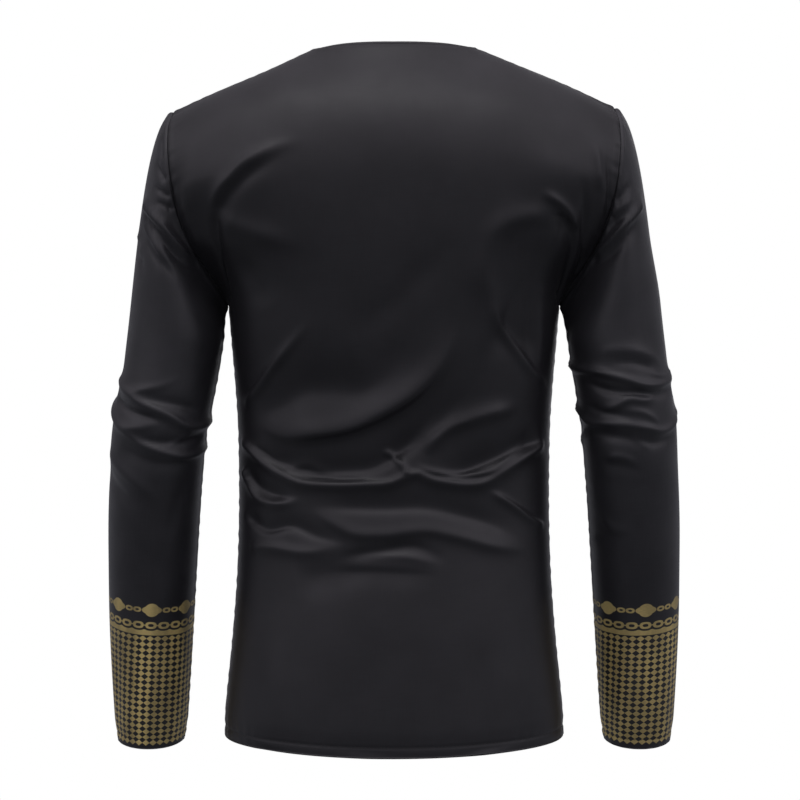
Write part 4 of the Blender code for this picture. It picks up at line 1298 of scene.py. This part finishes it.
# width and length of the cloth that shows, and the area of its cut, in metres
CUTS = {
    "back_panel": ((0.560, 0.730), 0.345),
    "front_panel": ((0.560, 0.720), 0.335),
    "sleeve_left": ((0.400, 0.650), 0.165),
    "sleeve_right": ((0.400, 0.650), 0.165),
    "neck_band": ((0.455, 0.010), 0.0035),
}
for name, piece in pieces.items():
    piece.data.materials.append(SATINS.get(name, body_satin))
    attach(piece, "root")
    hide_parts(name)
    sewn = [stitches[name]] if name in stitches else []
    for line in sewn:
        line.data.materials.append(black_thread)
        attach(line, "root")
    flat, area = CUTS[name]
    hangs_from = [] if name == "neck_band" else ["neck_band_cloth"]

# ---------------------------------------------------------------------- stage
STAGE_WHITE = (0.86, 0.90, 0.87)
FLOOR_DROP = 1600.0  # below the neck
FLOOR_RADIUS = 5000.0
FLOOR_SIDES = 64

angles = np.arange(FLOOR_SIDES) * 2 * math.pi / FLOOR_SIDES
ring = [(FLOOR_RADIUS * math.cos(a), FLOOR_RADIUS * math.sin(a), -FLOOR_DROP) for a in angles]
floor = add_object("floor", ring, [tuple(range(FLOOR_SIDES))])
matt = Material("floor")
matt.wear(Base_Color=STAGE_WHITE, Roughness=0.8)
floor.data.materials.append(matt.material)
# it carries the picture of a floor, and throws no light up at the shirt
floor.visible_diffuse = floor.visible_glossy = False

# place, place aimed at, width, height and power of each soft light
LIGHTS = {
    "key": ((0.3, 1.2, 3.1), (0.0, 0.0, -0.25), 2.4, 0.9, 8.0),
    "front": ((-0.5, -2.6, 0.1), (0.0, 0.0, -0.35), 1.6, 1.2, 2.5),
    "fill": ((-0.7, -2.4, 1.2), (0.0, 0.0, -0.35), 2.0, 2.0, 30.0),
}
MATT_LIGHTS = ("fill",)  # these leave no reflection
for name, (place, aim, wide, high, power) in LIGHTS.items():
    light = bpy.data.lights.new(name, "AREA")
    light.shape = "RECTANGLE"
    light.size, light.size_y = wide, high
    light.energy = power
    lamp = bpy.data.objects.new(name, light)
    lamp.location = place
    lamp.visible_glossy = name not in MATT_LIGHTS
    lamp.rotation_euler = (Vector(aim) - Vector(place)).to_track_quat("-Z", "Y").to_euler()
    bpy.context.scene.collection.objects.link(lamp)

# The soft light of the room. Each row gives a height over the horizon (sine of the angle)
# and a share of the strength: behind the shirt's back, to the two sides of that, and in
# front of its chest.
ROOM_COLUMNS = ("sine", "behind", "aside", "before")
ROOM_LIGHT = (
    (-1.0, 0.05, 0.05, 0.10),
    (-0.6, 0.075, 0.075, 0.12),
    (-0.35, 0.105, 0.105, 0.14),
    (-0.1, 0.125, 0.125, 0.15),
    (0.05, 0.15, 0.15, 0.15),
    (0.25, 0.21, 0.33, 0.13),
    (0.5, 0.33, 0.68, 0.13),
    (0.7, 0.44, 0.74, 0.18),
    (0.87, 0.55, 0.60, 0.32),
    (1.0, 0.55, 0.55, 0.55),
)
ROOM_STRENGTH = 1.4
LOW_TINT = (0.97, 0.980, 1.10)
HIGH_TINT = (1.02, 0.965, 1.07)

world = bpy.data.worlds.new("studio")
bpy.context.scene.world = world
n = Nodes(world)
east, north, height = n.split(n.value("TexCoord", {}, "Generated"))


def sky(side):
    """The light of one side of the room, by height."""
    share = n.value("MapRange", {"From Min": -1.0, "Value": height})
    colours = n.new("ValToRGB", {"Fac": share})
    ramp = colours.color_ramp
    ramp.interpolation = "B_SPLINE"
    while len(ramp.elements) < len(ROOM_LIGHT):
        ramp.elements.new(0.5)
    for stop, row in zip(ramp.elements, ROOM_LIGHT, strict=True):
        sine, amount = row[0], row[ROOM_COLUMNS.index(side)]
        stop.position = (sine + 1) / 2
        share_high = ease((sine + 0.2) / 0.8)
        tint = [low + (high - low) * share_high for low, high in zip(LOW_TINT, HIGH_TINT, strict=True)]
        stop.color = (*[min(1.0, amount * part) for part in tint], 1)
    return Result(n, colours.outputs["Color"])


# one side's light passes over into another's along a part of the direction
rear = n.mix(abs(east).span(0.3, 0.75), sky("behind"), sky("aside"))
room = n.tree.nodes["Background"]
n.put(ROOM_STRENGTH, room.inputs["Strength"])
n.put(n.mix(north.span(-0.5, 0.5), sky("before"), rear), room.inputs["Color"])
backdrop = n.value("Background", {"Color": (1, 1, 1)})
seen = n.value("LightPath", {}, "Is Camera Ray")
surface = n.value("MixShader", {0: seen, 1: Result(n, room.outputs[0]), 2: backdrop})
n.put(surface, n.tree.nodes["World Output"].inputs["Surface"])
bpy.context.scene.view_settings.view_transform = "Standard"

# ---------------------------------------------------------------------- camera
CAMERA = (-0.0061, 2.55, -0.36)
PICTURE_WIDTH = 0.816  # m across the photo at the shirt
SENSOR = 36.0

lens = bpy.data.cameras.new("camera")
lens.sensor_width = SENSOR
lens.lens = SENSOR * CAMERA[1] / PICTURE_WIDTH
lens.clip_end = 50.0
camera = bpy.data.objects.new("camera", lens)
camera.location = CAMERA
camera.rotation_euler = (math.pi / 2, 0, math.pi)
bpy.context.scene.collection.objects.link(camera)
bpy.context.scene.camera = camera
